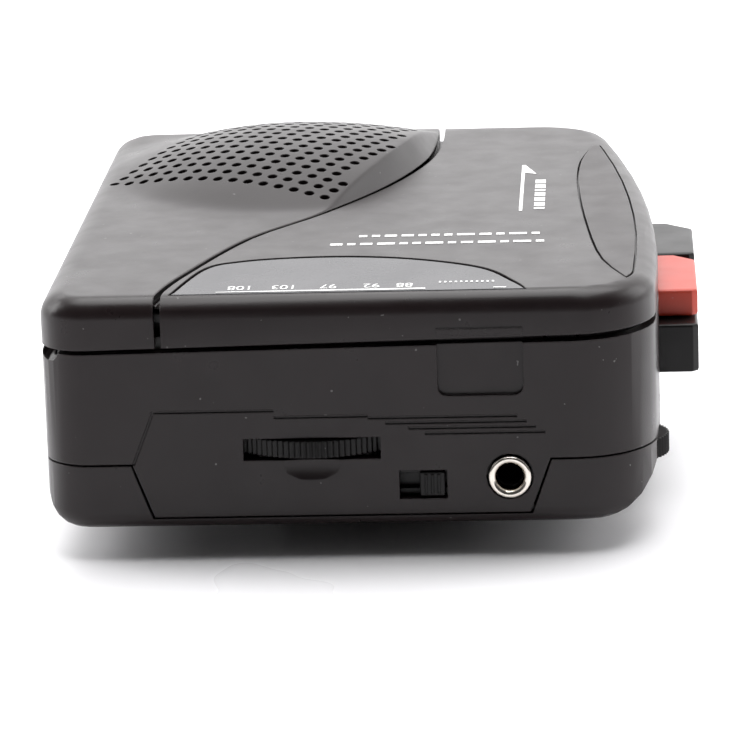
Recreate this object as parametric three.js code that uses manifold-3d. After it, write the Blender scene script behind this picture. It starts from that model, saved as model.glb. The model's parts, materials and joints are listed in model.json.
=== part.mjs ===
// A pocket radio cassette recorder that lies on its back, cassette door up.
// X runs across the body, Y away from the jack end, Z up; lengths are millimetres.
// Shapes are worked out from the body's near left bottom corner, and the whole group
// is then moved so that its origin is the middle of the base that it rests on.
import * as THREE from "three";
import { mergeVertices } from "three/addons/utils/BufferGeometryUtils.js";
import Module from "manifold-3d";

const wasm = await Module();
wasm.setup();

// ---------------------------------------------------------------- driving dimensions
// Body
const WIDTH = 88;
const DEPTH = 115;
const HEIGHT = 34;
const WALL = 1.8;
const GAP = 0.3;
const LIP = 0.9;
const EDGE_RADIUS = 3;
const LEFT_CORNER = 7;
const RIGHT_CORNER = 12;
const SIDE_BOW = 400;
const BOW_CREST = 32;
const SIDE_EDGES = { bottomLeft: 6, bottomRight: 10.5, topRight: 3, topLeft: 3.5 };

// Where the casings part
const REAR_SEAM = 9.8;
const DOOR_SEAM_LEFT = 26;
const DOOR_SEAM_RIGHT = 27;
const DOOR_GAP_LEFT = 0.6;
const DOOR_GAP_RIGHT = 1;

// Control tongue of the front housing, on the jack end
const TONGUE_LEFT = 12.8;
const TONGUE_RIGHT = 72.2;
const TONGUE_SLANT = 3;
const TONGUE_BOTTOM = 2;
const PANEL_TOP = 17.3;
const LINE_DEPTH = 0.3;
const LINE_WIDTH = 0.4;

// Door latch, beside the finger recess
const LATCH = { left: 72, right: 76, bottom: 22.6 };

// Cassette, and the deck under it
const CASSETTE = { x: 4.2, y: 7.3, width: 63.8, length: 100.4, thick: 12 };
const CASSETTE_BOTTOM = 19.4;
const HUB_SPACING = 42.5;
const HUB_TO_EDGE = 34.5;
const CAPSTAN_TO_EDGE = 5.5;
const CAPSTAN_FROM_MIDDLE = 35;
const DECK_TOP = 17.4;
const DECK_THICKNESS = 1;
const WHEEL_THICKNESS = 1.2;

// Speaker dome on the door
const DOME = { x: 31, y: 86, radius: 29.5, rise: 5.5, lean: 0.85, setBack: 0.6 };
const SPEAKER = { x: 28.5, y: 86, radius: 17.5, rim: 35 };

// Dial
const LENS_EDGE = 2.8;
const LENS_THICKNESS = 0.95;
const LENS_SEAT = 0.5;
const POINTER_LEFT = 24;
const POINTER_TRAVEL = 40;
const RAIL = { y: 5.1, z: 15.4, radius: 0.8, overhang: 4.8 };
const WINDOW = { left: 21.5, right: 66.5, far: 7 };

// Controls on the jack end
const TUNING = { x: 38.4, z: 11.9, radius: 15, thickness: 2.4, proud: 1.2 };
const TUNING_MOUTH = { left: 28.7, right: 48.2, bottom: 10.2, top: 13.4 };
const SWITCH = { left: 50.7, right: 57.5, z: 6.3, height: 4.2, knob: 3.6 };
const BOARD = { bottom: 2.9, top: 4.1 };
const MICROPHONE = { y: 20, z: 13, radius: 2.4, length: 3.4 };
const JACK = { x: 66.4, z: 7.3, bore: 1.9, ring: 3.05, proud: 0.7 };
const FINGER_RECESS = { left: 56.5, right: 68.6, bottom: 19.2, depth: 0.8, corner: 1.6 };

// Volume wheel, on the right side
const VOLUME = { y: 15, z: 7.9, radius: 6.6, thickness: 2.8, proud: 1.1 };

// Keys, on the right side: upper and lower row
const KEY_END = WIDTH + 5.7;
const KEY_BACK = WIDTH - 6;
const KEY_TRAVEL = 3.5;
const KEY_GAP = 0.3;
const UPPER_ROW = { bottom: 22.6, top: 26.6 };
const LOWER_ROW = { bottom: 15, top: 22.3 };
const KEYS = [
  { name: "record_key", row: UPPER_ROW, near: 29.5, far: 51.7, lever: 39.4, chamfer: 3, red: true },
  { name: "stop_key", row: UPPER_ROW, near: 52.3, far: 73, lever: 55.7, chamfer: 4 },
  { name: "play_key", row: LOWER_ROW, near: 26, far: 41.4, lever: 34, chamfer: 0.8, short: true },
  { name: "fast_forward_key", row: LOWER_ROW, near: 42, far: 57.2, lever: 48, chamfer: 0.8, short: true },
  { name: "rewind_key", row: LOWER_ROW, near: 57.8, far: 73, lever: 65, chamfer: 2 },
];
const LEVER = { width: 2.6, thickness: 1, inner: WIDTH - 18, legBack: WIDTH - 7.4 };
const SPRING_RADIUS = 1.3;
const SPRING_WIRE = 0.5;
const SPRING_ROOM = 7.5;
const BRACKET = 0.6;

// Batteries: two AA cells, side by side under the deck
const CELL = { diameter: 14.5, length: 50.5 };
const BAY = { x: 5.6, y: 46.2, spare: 2.2, endSpare: 5, wall: 1.2, lip: 0.4 };
const BATTERY_DOOR_THICKNESS = 1.4;

// Door hinge, along the left side
const HINGE = { x: 1.3, rise: 0.3, pin: 0.6, knuckle: 1.3, length: 7, lug: 4 };
const HINGE_FROM_ENDS = 14;

// Belt clip, which the body rests on
const CLIP = { x: 46, near: 20, far: 80, width: 28, thickness: 1.5, bottom: -4.5, pivot: 70 };
const CLIP_PIN = 0.8;

// Case screws
const SCREW = { shank: 1, head: 2, headHeight: 1.4, boss: 2.7, inset: 7.5, rightInset: 12 };

// ---------------------------------------------------------------- worked out from them
const TAPE_EDGE = CASSETTE.x + CASSETTE.width;
const MIDDLE = CASSETTE.y + CASSETTE.length / 2;
const TAPE_LEVEL = CASSETTE_BOTTOM + CASSETTE.thick / 2;
const DECK_BOTTOM = DECK_TOP - DECK_THICKNESS;
const HUB_X = TAPE_EDGE - HUB_TO_EDGE;
const CAPSTAN_X = TAPE_EDGE - CAPSTAN_TO_EDGE;
const CAPSTAN_Y = MIDDLE + CAPSTAN_FROM_MIDDLE;
const CEILING = HEIGHT - WALL;
const HINGE_Z = DOOR_SEAM_LEFT + HINGE.rise;
const BAY_FAR = BAY.y + CELL.length + BAY.endSpare;
const BAY_RIGHT = BAY.x + 2 * CELL.diameter + BAY.spare;
const TUNING_Y = TUNING.radius - TUNING.proud;
const KEY_ROOM = {
  left: KEY_BACK - KEY_TRAVEL - 1.8,
  near: Math.min(...KEYS.map((key) => key.near)) - 2,
  far: Math.max(...KEYS.map((key) => key.far)) + 2,
};
const PANEL_LINE_Y = [16, 15.2, 14.4, 13.6];

// ---------------------------------------------------------------- solids
const ALONG_Y = new THREE.Matrix4().makeBasis(
  new THREE.Vector3(1, 0, 0), new THREE.Vector3(0, 0, 1), new THREE.Vector3(0, -1, 0));
const ALONG_X = new THREE.Matrix4().makeBasis(
  new THREE.Vector3(0, 1, 0), new THREE.Vector3(0, 0, 1), new THREE.Vector3(1, 0, 0));

// A closed three.js geometry as a manifold-3d solid.
function solid(geometry) {
  const bare = geometry.clone();
  bare.deleteAttribute("normal");
  bare.deleteAttribute("uv");
  const merged = mergeVertices(bare, 1e-3);
  const vertProperties = new Float32Array(merged.attributes.position.array);
  const triVerts = new Uint32Array(merged.index.array);
  return new wasm.Manifold(new wasm.Mesh({ numProp: 3, vertProperties, triVerts }));
}

function box(x0, x1, y0, y1, z0, z1) {
  const shape = new THREE.BoxGeometry(x1 - x0, y1 - y0, z1 - z0);
  return solid(shape.translate((x0 + x1) / 2, (y0 + y1) / 2, (z0 + z1) / 2));
}

// A shape in plan, from z0 up to z1, with both rims rounded by edge.
function slab(shape, z0, z1, edge = 0, curveSegments = 5) {
  const rounding = {
    bevelEnabled: edge > 0,
    bevelThickness: edge,
    bevelSize: edge,
    bevelOffset: -edge,
    bevelSegments: edge > 1 ? 4 : 2,
  };
  const depth = z1 - z0 - 2 * edge;
  const made = new THREE.ExtrudeGeometry(shape, { depth, curveSegments, ...rounding });
  return solid(made.translate(0, 0, z0 + edge));
}

// A shape of (x, z), from y0 to y1, and a shape of (y, z), from x0 to x1.
function prismY(shape, y0, y1, curveSegments = 5) {
  const made = new THREE.ExtrudeGeometry(shape, { depth: y1 - y0, curveSegments, bevelEnabled: false });
  return solid(made.applyMatrix4(ALONG_Y).translate(0, y1, 0));
}

function prismX(shape, x0, x1, curveSegments = 5) {
  const made = new THREE.ExtrudeGeometry(shape, { depth: x1 - x0, curveSegments, bevelEnabled: false });
  return solid(made.applyMatrix4(ALONG_X).translate(x0, 0, 0));
}

function polygon(points) {
  return new THREE.Shape(points.map(([x, y]) => new THREE.Vector2(x, y)));
}

function circle(x, y, radius) {
  return new THREE.Shape().absarc(x, y, radius, 0, 2 * Math.PI);
}

// Upright, lengthwise and crosswise rods.
function post(x, y, radius, z0, z1, sides = 6) {
  return slab(circle(x, y, radius), z0, z1, 0, sides);
}

function rodY(x, z, radius, y0, y1, sides = 6) {
  return prismY(circle(x, z, radius), y0, y1, sides);
}

function rodX(y, z, radius, x0, x1, sides = 6) {
  return prismX(circle(y, z, radius), x0, x1, sides);
}

// A profile of [radius, z] turned about an upright axis at x, y.
function turned(x, y, profile, segments = 32) {
  const points = profile.map(([radius, z]) => new THREE.Vector2(radius, z));
  const made = new THREE.LatheGeometry(points, segments);
  return solid(made.rotateX(Math.PI / 2).translate(x, y, 0));
}

function rotorRing(x, y, inner, outer, z0, z1, sides = 8) {
  return post(x, y, outer, z0, z1, sides).subtract(post(x, y, inner, z0 - 1, z1 + 1, 5));
}

function joined(solids) {
  return solids.reduce((all, one) => all.add(one));
}

// ---------------------------------------------------------------- body envelope
// Plan of the body, moved in by inset: round corners, and a right side that bows out.
function planOutline(inset) {
  const side = new THREE.Vector2(WIDTH - SIDE_BOW, BOW_CREST);
  const cornerAt = (y) => {
    const reach = SIDE_BOW - RIGHT_CORNER;
    const rise = y - side.y;
    return new THREE.Vector2(side.x + Math.sqrt(reach * reach - rise * rise), y);
  };
  const near = cornerAt(RIGHT_CORNER);
  const far = cornerAt(DEPTH - RIGHT_CORNER);
  const nearTurn = near.clone().sub(side).angle() - 2 * Math.PI;
  const farTurn = far.clone().sub(side).angle();
  const corner = LEFT_CORNER - inset;
  return new THREE.Shape()
    .absarc(LEFT_CORNER, LEFT_CORNER, corner, Math.PI, 1.5 * Math.PI)
    .absarc(near.x, near.y, RIGHT_CORNER - inset, -Math.PI / 2, nearTurn)
    .absarc(side.x, side.y, SIDE_BOW - inset, nearTurn, farTurn)
    .absarc(far.x, far.y, RIGHT_CORNER - inset, farTurn, Math.PI / 2)
    .absarc(LEFT_CORNER, DEPTH - LEFT_CORNER, corner, Math.PI / 2, Math.PI);
}

// Section across the body, moved in by inset: each long edge has its own rounding.
function sectionOutline(inset) {
  const { bottomLeft, bottomRight, topRight, topLeft } = SIDE_EDGES;
  const round = (radius) => Math.max(radius - inset, 0.4);
  const right = WIDTH - inset;
  const top = HEIGHT - inset;
  const corner = (shape, x, y, radius, turn) => {
    const start = (turn * Math.PI) / 2;
    return shape.absarc(x, y, radius, start, start + Math.PI / 2);
  };
  const shape = new THREE.Shape();
  corner(shape, inset + round(bottomLeft), inset + round(bottomLeft), round(bottomLeft), 2);
  corner(shape, right - round(bottomRight), inset + round(bottomRight), round(bottomRight), 3);
  corner(shape, right - round(topRight), top - round(topRight), round(topRight), 0);
  corner(shape, inset + round(topLeft), top - round(topLeft), round(topLeft), 1);
  return shape;
}

function envelope(inset) {
  const edge = Math.max(EDGE_RADIUS - inset, 0.4);
  const plan = slab(planOutline(inset), inset, HEIGHT - inset, edge, 4);
  return plan.intersect(prismY(sectionOutline(inset), -1, DEPTH + 1, 3));
}

// Everything below the slanting door seam, raised by the two given amounts.
function belowDoorSeam(riseLeft, riseRight) {
  const left = DOOR_SEAM_LEFT + riseLeft;
  const right = DOOR_SEAM_RIGHT + riseRight;
  return prismY(polygon([[0, -20], [WIDTH, -20], [WIDTH, right], [0, left]]), -9, DEPTH + 9);
}

const body = envelope(0);
const cavity = envelope(WALL);
const shell = body.subtract(cavity);

function tongueOutline(grow) {
  return polygon([
    [TONGUE_LEFT + TONGUE_SLANT - grow, TONGUE_BOTTOM - grow],
    [TONGUE_RIGHT - TONGUE_SLANT + grow, TONGUE_BOTTOM - grow],
    [TONGUE_RIGHT + grow, REAR_SEAM + GAP],
    [TONGUE_LEFT - grow, REAR_SEAM + GAP],
  ]);
}

const bossPlaces = [
  [SCREW.inset, SCREW.inset],
  [WIDTH - SCREW.rightInset, SCREW.inset],
  [BAY_RIGHT + BAY.wall + SCREW.boss + 0.8, DEPTH - SCREW.inset],
  [WIDTH - SCREW.rightInset, DEPTH - SCREW.inset],
];

// Screw bosses between two heights, each held to the nearest end wall by a rib.
function bosses(z0, z1) {
  return joined(bossPlaces.flatMap(([x, y]) => {
    const wallY = y < DEPTH / 2 ? WALL / 2 : DEPTH - WALL / 2;
    const rib = box(x - 1, x + 1, Math.min(y, wallY), Math.max(y, wallY), z0, z1);
    return [post(x, y, SCREW.boss, z0, z1), rib];
  }));
}

function screwHoles(z0, z1) {
  return joined(bossPlaces.map(([x, y]) => post(x, y, SCREW.shank + GAP, z0, z1)));
}

// ---------------------------------------------------------------- casings
const knuckleStarts = [HINGE_FROM_ENDS, DEPTH - HINGE_FROM_ENDS - HINGE.length];

// Barrels round the hinge axis, each with a web that reaches up or down to z.
function hingeBarrels(starts, length, z) {
  const half = HINGE.knuckle;
  return joined(starts.flatMap((y) => [
    rodY(HINGE.x, HINGE_Z, half, y, y + length, 5),
    box(HINGE.x - half, HINGE.x + half, y, y + length, Math.min(z, HINGE_Z), Math.max(z, HINGE_Z)),
  ]));
}

const lugStarts = [knuckleStarts[0] + HINGE.length + GAP, knuckleStarts[1] - HINGE.lug - GAP];
const hingeBore = rodY(HINGE.x, HINGE_Z, HINGE.pin + 0.25, 0.1, DEPTH - 0.1, 4)
  .subtract(box(-9, WIDTH, 0, knuckleStarts[0] + 1, 0, HEIGHT))
  .subtract(box(-9, WIDTH, knuckleStarts[1] + HINGE.length - 1, DEPTH, 0, HEIGHT));

// Rim inside the door seam that keeps dust out of the cassette compartment.
function dustLip() {
  const inner = slab(planOutline(WALL + GAP + LIP), 0, HEIGHT, 0, 4);
  const ledge = slab(planOutline(WALL / 2), DOOR_SEAM_LEFT - 2.4, DOOR_SEAM_LEFT - 1.4, 0, 4);
  const rim = slab(planOutline(WALL + GAP), DOOR_SEAM_LEFT - 2.4, DOOR_SEAM_RIGHT + 1, 0, 4);
  const latchRoom = box(LATCH.left - 0.5, LATCH.right + 0.5, WALL, 10, 20, HEIGHT);
  const hingeSide = box(0, 4, HINGE_FROM_ENDS - 2, DEPTH - HINGE_FROM_ENDS + 2, 0, HEIGHT);
  return ledge.add(rim).subtract(inner).subtract(latchRoom).subtract(hingeSide);
}

// Windows for the keys: the upper row's is open to the door seam.
function keyWindows() {
  return joined(KEYS.map(({ row, near, far }) => {
    const top = row === UPPER_ROW ? HEIGHT : row.top + KEY_GAP;
    const bottom = row.bottom - KEY_GAP;
    return box(KEY_ROOM.left + 0.8, WIDTH + 5, near - KEY_GAP, far + KEY_GAP, bottom, top);
  }));
}

function switchWindow() {
  const half = SWITCH.height / 2;
  return box(SWITCH.left, SWITCH.right, -1, WALL + 1, SWITCH.z - half, SWITCH.z + half);
}

function panelLines() {
  const left = TONGUE_LEFT + TONGUE_SLANT;
  const upright = (x0, z0, x1, z1) => prismY(polygon([
    [x0, z0], [x0 + LINE_WIDTH, z0], [x1 + LINE_WIDTH, z1], [x1, z1]]), -1, LINE_DEPTH);
  const flat = (x0, x1, z) => box(x0, x1, -1, LINE_DEPTH, z, z + LINE_WIDTH);
  const starts = [46.5, 49, 52.2, 54.5];
  const grooves = PANEL_LINE_Y.map((z, i) => flat(starts[i], TONGUE_RIGHT - 4.6 + i * 1.3, z));
  return joined([
    upright(TONGUE_LEFT, REAR_SEAM, left, PANEL_TOP),
    flat(left, 33.2, PANEL_TOP),
    flat(33.2, starts[0], PANEL_TOP - 1),
    ...grooves,
  ]);
}

// The pointer's rail, grown by grow.
function rail(grow) {
  const reach = RAIL.overhang + grow;
  const right = POINTER_LEFT + POINTER_TRAVEL;
  return rodX(RAIL.y, RAIL.z, RAIL.radius + grow, POINTER_LEFT - reach, right + reach, 4);
}

function railBlocks() {
  const ends = [POINTER_LEFT - 6, POINTER_LEFT + POINTER_TRAVEL + 4];
  return joined(ends.map((x) => box(x, x + 2.2, WALL / 2, 6.6, 13.8, 17)));
}

// The slot that a thumb wheel turns in.
function slotFor(x, y, wheel, sides) {
  const half = wheel.thickness / 2 + GAP;
  return post(x, y, wheel.radius + GAP, wheel.z - half, wheel.z + half, sides);
}

// The opening over the tuning wheel, wider than the wheel's rim shows.
function tuningMouth() {
  const { left, right, bottom, top } = TUNING_MOUTH;
  return box(left, right, -1, WALL + 0.4, bottom, top);
}

function fingerRecess() {
  const { left, right, bottom, depth, corner } = FINGER_RECESS;
  const top = DOOR_SEAM_RIGHT + 1;
  const outline = new THREE.Shape()
    .moveTo(left, top)
    .lineTo(left, bottom + corner)
    .quadraticCurveTo(left, bottom, left + corner, bottom)
    .lineTo(right - corner, bottom)
    .quadraticCurveTo(right, bottom, right, bottom + corner)
    .lineTo(right, top);
  return prismY(outline, -1, depth);
}

function frontHousing() {
  const upper = body.intersect(box(-1, WIDTH + 1, -1, DEPTH + 1, REAR_SEAM + GAP / 2, HEIGHT));
  const tongue = body.intersect(prismY(tongueOutline(0), -1, WALL));
  const hingeRelief = rodY(HINGE.x, HINGE_Z, HINGE.knuckle + GAP, -1, DEPTH + 1);
  const lugRoom = lugStarts.map((y) =>
    box(-1, 2 * HINGE.x + GAP, y - GAP, y + HINGE.lug + GAP, HINGE_Z - HINGE.knuckle - GAP, HEIGHT));
  return shell.intersect(upper.add(tongue))
    .intersect(belowDoorSeam(0, 0))
    .subtract(fingerRecess())
    .add(dustLip())
    .subtract(hingeRelief)
    .subtract(joined(lugRoom))
    .add(hingeBarrels(knuckleStarts, HINGE.length, HINGE_Z - HINGE.knuckle - 2))
    .add(bosses(REAR_SEAM + GAP / 2, DECK_BOTTOM - GAP).intersect(body))
    .add(railBlocks())
    .subtract(screwHoles(0, HEIGHT))
    .subtract(hingeBore)
    .subtract(rail(GAP))
    .subtract(keyWindows())
    .subtract(slotFor(TUNING.x, TUNING_Y, TUNING, 16))
    .subtract(tuningMouth())
    .subtract(switchWindow())
    .subtract(rodY(JACK.x, JACK.z, JACK.ring + GAP, -1, WALL + 1, 8))
    .subtract(rodX(MICROPHONE.y, MICROPHONE.z, 0.6, WIDTH - 5, WIDTH + 1, 3))
    .subtract(panelLines());
}

function batteryBay() {
  const { x, y, wall } = BAY;
  const top = DECK_BOTTOM - GAP;
  const outer = box(x - wall, BAY_RIGHT + wall, y - wall, BAY_FAR + wall, WALL / 2, top);
  return outer.subtract(box(x, BAY_RIGHT, y, BAY_FAR, -1, top + 1));
}

const batteryDoorCut = box(
  BAY.x + BAY.lip, BAY_RIGHT - BAY.lip, BAY.y + BAY.lip, DEPTH + 1, -1, BATTERY_DOOR_THICKNESS + GAP);
const clipEars = [CLIP.x - 6, CLIP.x + 3.5];
const clipPivotZ = CLIP.bottom / 2 + 0.4;

function rearHousing() {
  const lower = box(-1, WIDTH + 1, -1, DEPTH + 1, -1, REAR_SEAM - GAP / 2);
  const ears = clipEars.map((x) => joined([
    box(x, x + 2.5, CLIP.pivot - 1.6, CLIP.pivot + 1.6, clipPivotZ, WALL / 2),
    rodX(CLIP.pivot, clipPivotZ, 1.6, x, x + 2.5),
  ]));
  const headHoles = bossPlaces.map(([x, y]) => post(x, y, SCREW.head + GAP, -1, SCREW.headHeight + GAP));
  const bayHole = box(BAY.x, BAY_RIGHT, BAY.y, BAY_FAR, -1, DECK_BOTTOM);
  return shell.intersect(lower)
    .subtract(prismY(tongueOutline(GAP), -1, WALL + 0.01))
    .add(bosses(WALL / 2, REAR_SEAM - GAP / 2).intersect(body))
    .add(joined(ears))
    .subtract(bayHole)
    .add(batteryBay())
    .subtract(batteryDoorCut)
    .subtract(screwHoles(-1, HEIGHT))
    .subtract(joined(headHoles))
    .subtract(rodX(CLIP.pivot, clipPivotZ, CLIP_PIN + GAP, CLIP.x - 9, CLIP.x + 9, 4))
    .subtract(slotFor(volumeX(), VOLUME.y, VOLUME, 12));
}

function batteryDoor() {
  const inset = BAY.lip + GAP;
  return body.intersect(box(
    BAY.x + inset, BAY_RIGHT - inset, BAY.y + inset, DEPTH + 1, -1, BATTERY_DOOR_THICKNESS));
}

// ---------------------------------------------------------------- door
// The line in plan where the speaker cover meets the door panel.
function partingPoints(shift) {
  const bends = [
    [17.6, -2], [17.8, 4], [20.6, 15], [28, 36], [38, 52], [47, 70], [52.4, 87], [54, 101], [54, DEPTH + 2],
  ];
  const curve = new THREE.SplineCurve(bends.map(([x, y]) => new THREE.Vector2(x + shift, y)));
  return curve.getPoints(32);
}

// All that lies left of the parting line; lean tilts its edge left with height.
function leftOfParting(shift, lean = 0) {
  const outline = [...partingPoints(shift), new THREE.Vector2(-9, DEPTH + 2), new THREE.Vector2(-9, -2)];
  const depth = 3 * HEIGHT;
  const made = new THREE.ExtrudeGeometry(new THREE.Shape(outline), { depth, bevelEnabled: false });
  const tilt = new THREE.Matrix4().makeShear(0, 0, 0, 0, -lean, 0);
  return solid(made.applyMatrix4(tilt).translate(lean * HEIGHT, 0, 0));
}

// The dome's cap, moved in by inset.
function domeCap(inset) {
  const radius = (DOME.radius ** 2 + DOME.rise ** 2) / (2 * DOME.rise);
  const centre = HEIGHT + DOME.rise - radius;
  const r = radius - inset;
  const base = inset > 0 ? CEILING - 1 : HEIGHT - 1;
  const spread = Math.acos((base - centre) / r);
  const arc = Array.from({ length: 8 }, (_, i) => {
    const angle = spread * (1 - i / 7);
    return [i === 7 ? 0 : r * Math.sin(angle), centre + r * Math.cos(angle)];
  });
  const cap = turned(DOME.x, DOME.y, [[0, base], ...arc], 40);
  const plan = slab(planOutline(inset + 0.8), base - 1, 2 * HEIGHT, 0, 4);
  return cap
    .intersect(plan)
    .intersect(leftOfParting(-GAP / 2 - inset))
    .intersect(leftOfParting(-DOME.setBack - inset, DOME.lean));
}

const knuckleNotches = joined(knuckleStarts.map((y) =>
  box(-1, 2 * HINGE.x + GAP, y - GAP, y + HINGE.length + GAP, 0, HINGE_Z + HINGE.knuckle + GAP)));

const doorShell = shell
  .subtract(belowDoorSeam(DOOR_GAP_LEFT, DOOR_GAP_RIGHT))
  .subtract(knuckleNotches);

function speakerCover() {
  return doorShell
    .intersect(leftOfParting(-GAP / 2))
    .add(domeCap(0))
    .subtract(domeCap(WALL))
    .add(hingeBarrels(lugStarts, HINGE.lug, HINGE_Z + HINGE.knuckle + 2))
    .subtract(hingeBore);
}

function lensOutline(grow) {
  const near = LENS_EDGE - grow;
  const shape = new THREE.Shape().moveTo(19 - grow, near).lineTo(69 + grow, near);
  const arch = [[67.4, 7], [62.8, 15.4], [54, 21], [45, 23.6], [36, 23.8], [27.6, 22], [22.6, 17.6]];
  const middle = new THREE.Vector2(45, 12);
  const points = arch.map(([x, y]) => {
    const point = new THREE.Vector2(x, y);
    return point.add(point.clone().sub(middle).setLength(grow));
  });
  return shape.splineThru([...points, new THREE.Vector2(19 - grow, near)]);
}

function inlayOutline(inset) {
  const bends = [[83.6 - inset, 7], [79.6, 20], [77.4, 42], [76.1, 66], [76.3, 84], [78.4 - inset, 96.5]];
  const curve = new THREE.SplineCurve(bends.map(([x, y]) => new THREE.Vector2(x + inset, y)));
  const left = curve.getPoints(16);
  return new THREE.Shape([...left, new THREE.Vector2(WIDTH, 96.5), new THREE.Vector2(WIDTH, 7)].reverse());
}

function doorPanel() {
  const seat = HEIGHT - LENS_THICKNESS - GAP;
  const { left, right } = FINGER_RECESS;
  const window = box(WINDOW.left, WINDOW.right, LENS_EDGE + 1.4, WINDOW.far, CEILING - 1, HEIGHT);
  const inlaySeat = slab(inlayOutline(0), HEIGHT - 0.8, HEIGHT + 1)
    .intersect(slab(planOutline(EDGE_RADIUS), 0, 2 * HEIGHT, 0, 4));
  return doorShell
    .subtract(leftOfParting(GAP / 2))
    .subtract(slab(lensOutline(GAP), seat, HEIGHT + 1))
    .subtract(window)
    .subtract(inlaySeat)
    .add(box(left, right, -GAP, WALL / 2, DOOR_SEAM_RIGHT + DOOR_GAP_RIGHT, DOOR_SEAM_RIGHT + 2));
}

function sideInlay() {
  return slab(inlayOutline(GAP), HEIGHT - LENS_SEAT, HEIGHT + 0.1)
    .intersect(slab(planOutline(EDGE_RADIUS + GAP), 0, 2 * HEIGHT, 0, 4));
}

const FRAME_BOTTOM = CEILING - 2.1;
const HOOK = { length: 15, thickness: 1.4, lip: 2 };

// Frame inside the door, with two hooks that carry the cassette's hinge-side end.
function doorFrame() {
  const top = FRAME_BOTTOM + 1.1;
  const bottom = FRAME_BOTTOM;
  const { x, y, width, length } = CASSETTE;
  const plate = slab(planOutline(WALL + GAP), bottom, top, 0, 4);
  const opening = box(0, x + width + GAP, y - GAP, y + length + GAP, bottom - 1, top + 1);
  const pointerSlot = box(
    POINTER_LEFT - 5, POINTER_LEFT + POINTER_TRAVEL + 5, RAIL.y - 1.5, y, bottom - 1, top + 1);
  const left = x + 1;
  const right = left + HOOK.length;
  const foot = CASSETTE_BOTTOM + 0.4;
  const hook = (inner, outer, lip) => joined([
    box(left, right, Math.min(inner, outer), Math.max(inner, outer), foot, top),
    box(left, right, Math.min(outer, lip), Math.max(outer, lip), foot, foot + 1),
  ]);
  return plate
    .subtract(opening)
    .subtract(pointerSlot)
    .add(hook(y - GAP, y - GAP - HOOK.thickness, y + HOOK.lip))
    .add(hook(y + length + GAP, y + length + GAP + HOOK.thickness, y + length - HOOK.lip));
}

function doorLatch() {
  const { left, right, bottom } = LATCH;
  const near = WALL + GAP;
  return box(left, right, near, near + 1.2, bottom, FRAME_BOTTOM - GAP)
    .add(box(left, right, near, near + 2.2, bottom, bottom + 1.2));
}

function speakerFrame() {
  const { x, y, radius, rim } = SPEAKER;
  return turned(x, y, [
    [0, rim - 4.4], [9, rim - 4.4], [9, rim - 3], [radius - 2, rim - 1.2], [radius, rim - 1.2],
    [radius, rim], [radius - 2.6, rim], [8, rim - 2.4], [0, rim - 2.4]], 28);
}

function speakerCone() {
  const { x, y, radius, rim } = SPEAKER;
  return turned(x, y, [
    [0, rim - 1.9], [7.4, rim - 1.9], [radius - 3, rim], [radius - 3, rim + 0.4],
    [7, rim - 1.3], [0, rim - 0.7]], 28);
}

function hingePin(index) {
  const start = Math.min(knuckleStarts[index], lugStarts[index]) + (index ? 0.4 : 1.4);
  const length = HINGE.length + GAP + HINGE.lug - 1.8;
  return rodY(HINGE.x, HINGE_Z, HINGE.pin, start, start + length, 4);
}

// ---------------------------------------------------------------- controls
function circuitBoard() {
  const outline = slab(planOutline(WALL + 2.6), BOARD.bottom, BOARD.top, 0, 4);
  const room = bossPlaces.filter(([, y]) => y < DEPTH / 2).map(([x, y]) => {
    const left = x < WIDTH / 2 ? 0 : x - 1 - GAP;
    const right = x < WIDTH / 2 ? x + 1 + GAP : WIDTH;
    return post(x, y, SCREW.boss + GAP, 0, 9).add(box(left, right, 0, y, 0, 9));
  });
  return outline
    .intersect(box(0, WIDTH - WALL - 5, 0, BAY.y - BAY.wall - GAP, 0, 9))
    .subtract(joined(room));
}

const ON_BOARD = BOARD.top + GAP;

function tuningCapacitor() {
  const { x } = TUNING;
  const top = TUNING.z - TUNING.thickness / 2 - GAP;
  const half = 8;
  return box(x - half, x + half, TUNING_Y - half, TUNING_Y + half, ON_BOARD, top - 0.5)
    .add(post(x, TUNING_Y, 2.5, ON_BOARD, top));
}

// A thumb wheel whose rim has grip notches.
function thumbWheel(x, y, radius, z0, z1, notches) {
  const points = Array.from({ length: notches * 2 }, (_, i) => {
    const angle = (i * Math.PI) / notches;
    const r = i % 2 ? radius : radius - 0.5;
    return new THREE.Vector2(x + r * Math.cos(angle), y + r * Math.sin(angle));
  });
  return slab(new THREE.Shape(points), z0, z1);
}

function tuningWheel() {
  const half = TUNING.thickness / 2;
  return thumbWheel(TUNING.x, TUNING_Y, TUNING.radius, TUNING.z - half, TUNING.z + half, 60)
    .add(post(TUNING.x, TUNING_Y, POINTER_TRAVEL / Math.PI - 1.6, TUNING.z, TUNING.z + half + 0.6, 10));
}

function tuningPointer() {
  const x = POINTER_LEFT;
  const { y, z } = RAIL;
  return box(x - 2.4, x + 2.4, y - 1.2, y + 1.2, z - 1.4, z + 1.4)
    .add(box(x - 0.5, x + 0.5, y - 1, y + 0.6, z + 0.6, CEILING - 2.2))
    .subtract(rail(GAP));
}

function volumeX() {
  return WIDTH + VOLUME.proud - VOLUME.radius;
}

function volumeWheel() {
  const half = VOLUME.thickness / 2;
  return thumbWheel(volumeX(), VOLUME.y, VOLUME.radius, VOLUME.z - half, VOLUME.z + half, 36);
}

function volumePot() {
  const x = volumeX();
  const top = VOLUME.z - VOLUME.thickness / 2 - GAP;
  return box(x - 4.3, x + 0.9, VOLUME.y - 4.6, VOLUME.y + 4.6, ON_BOARD, top);
}

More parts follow.
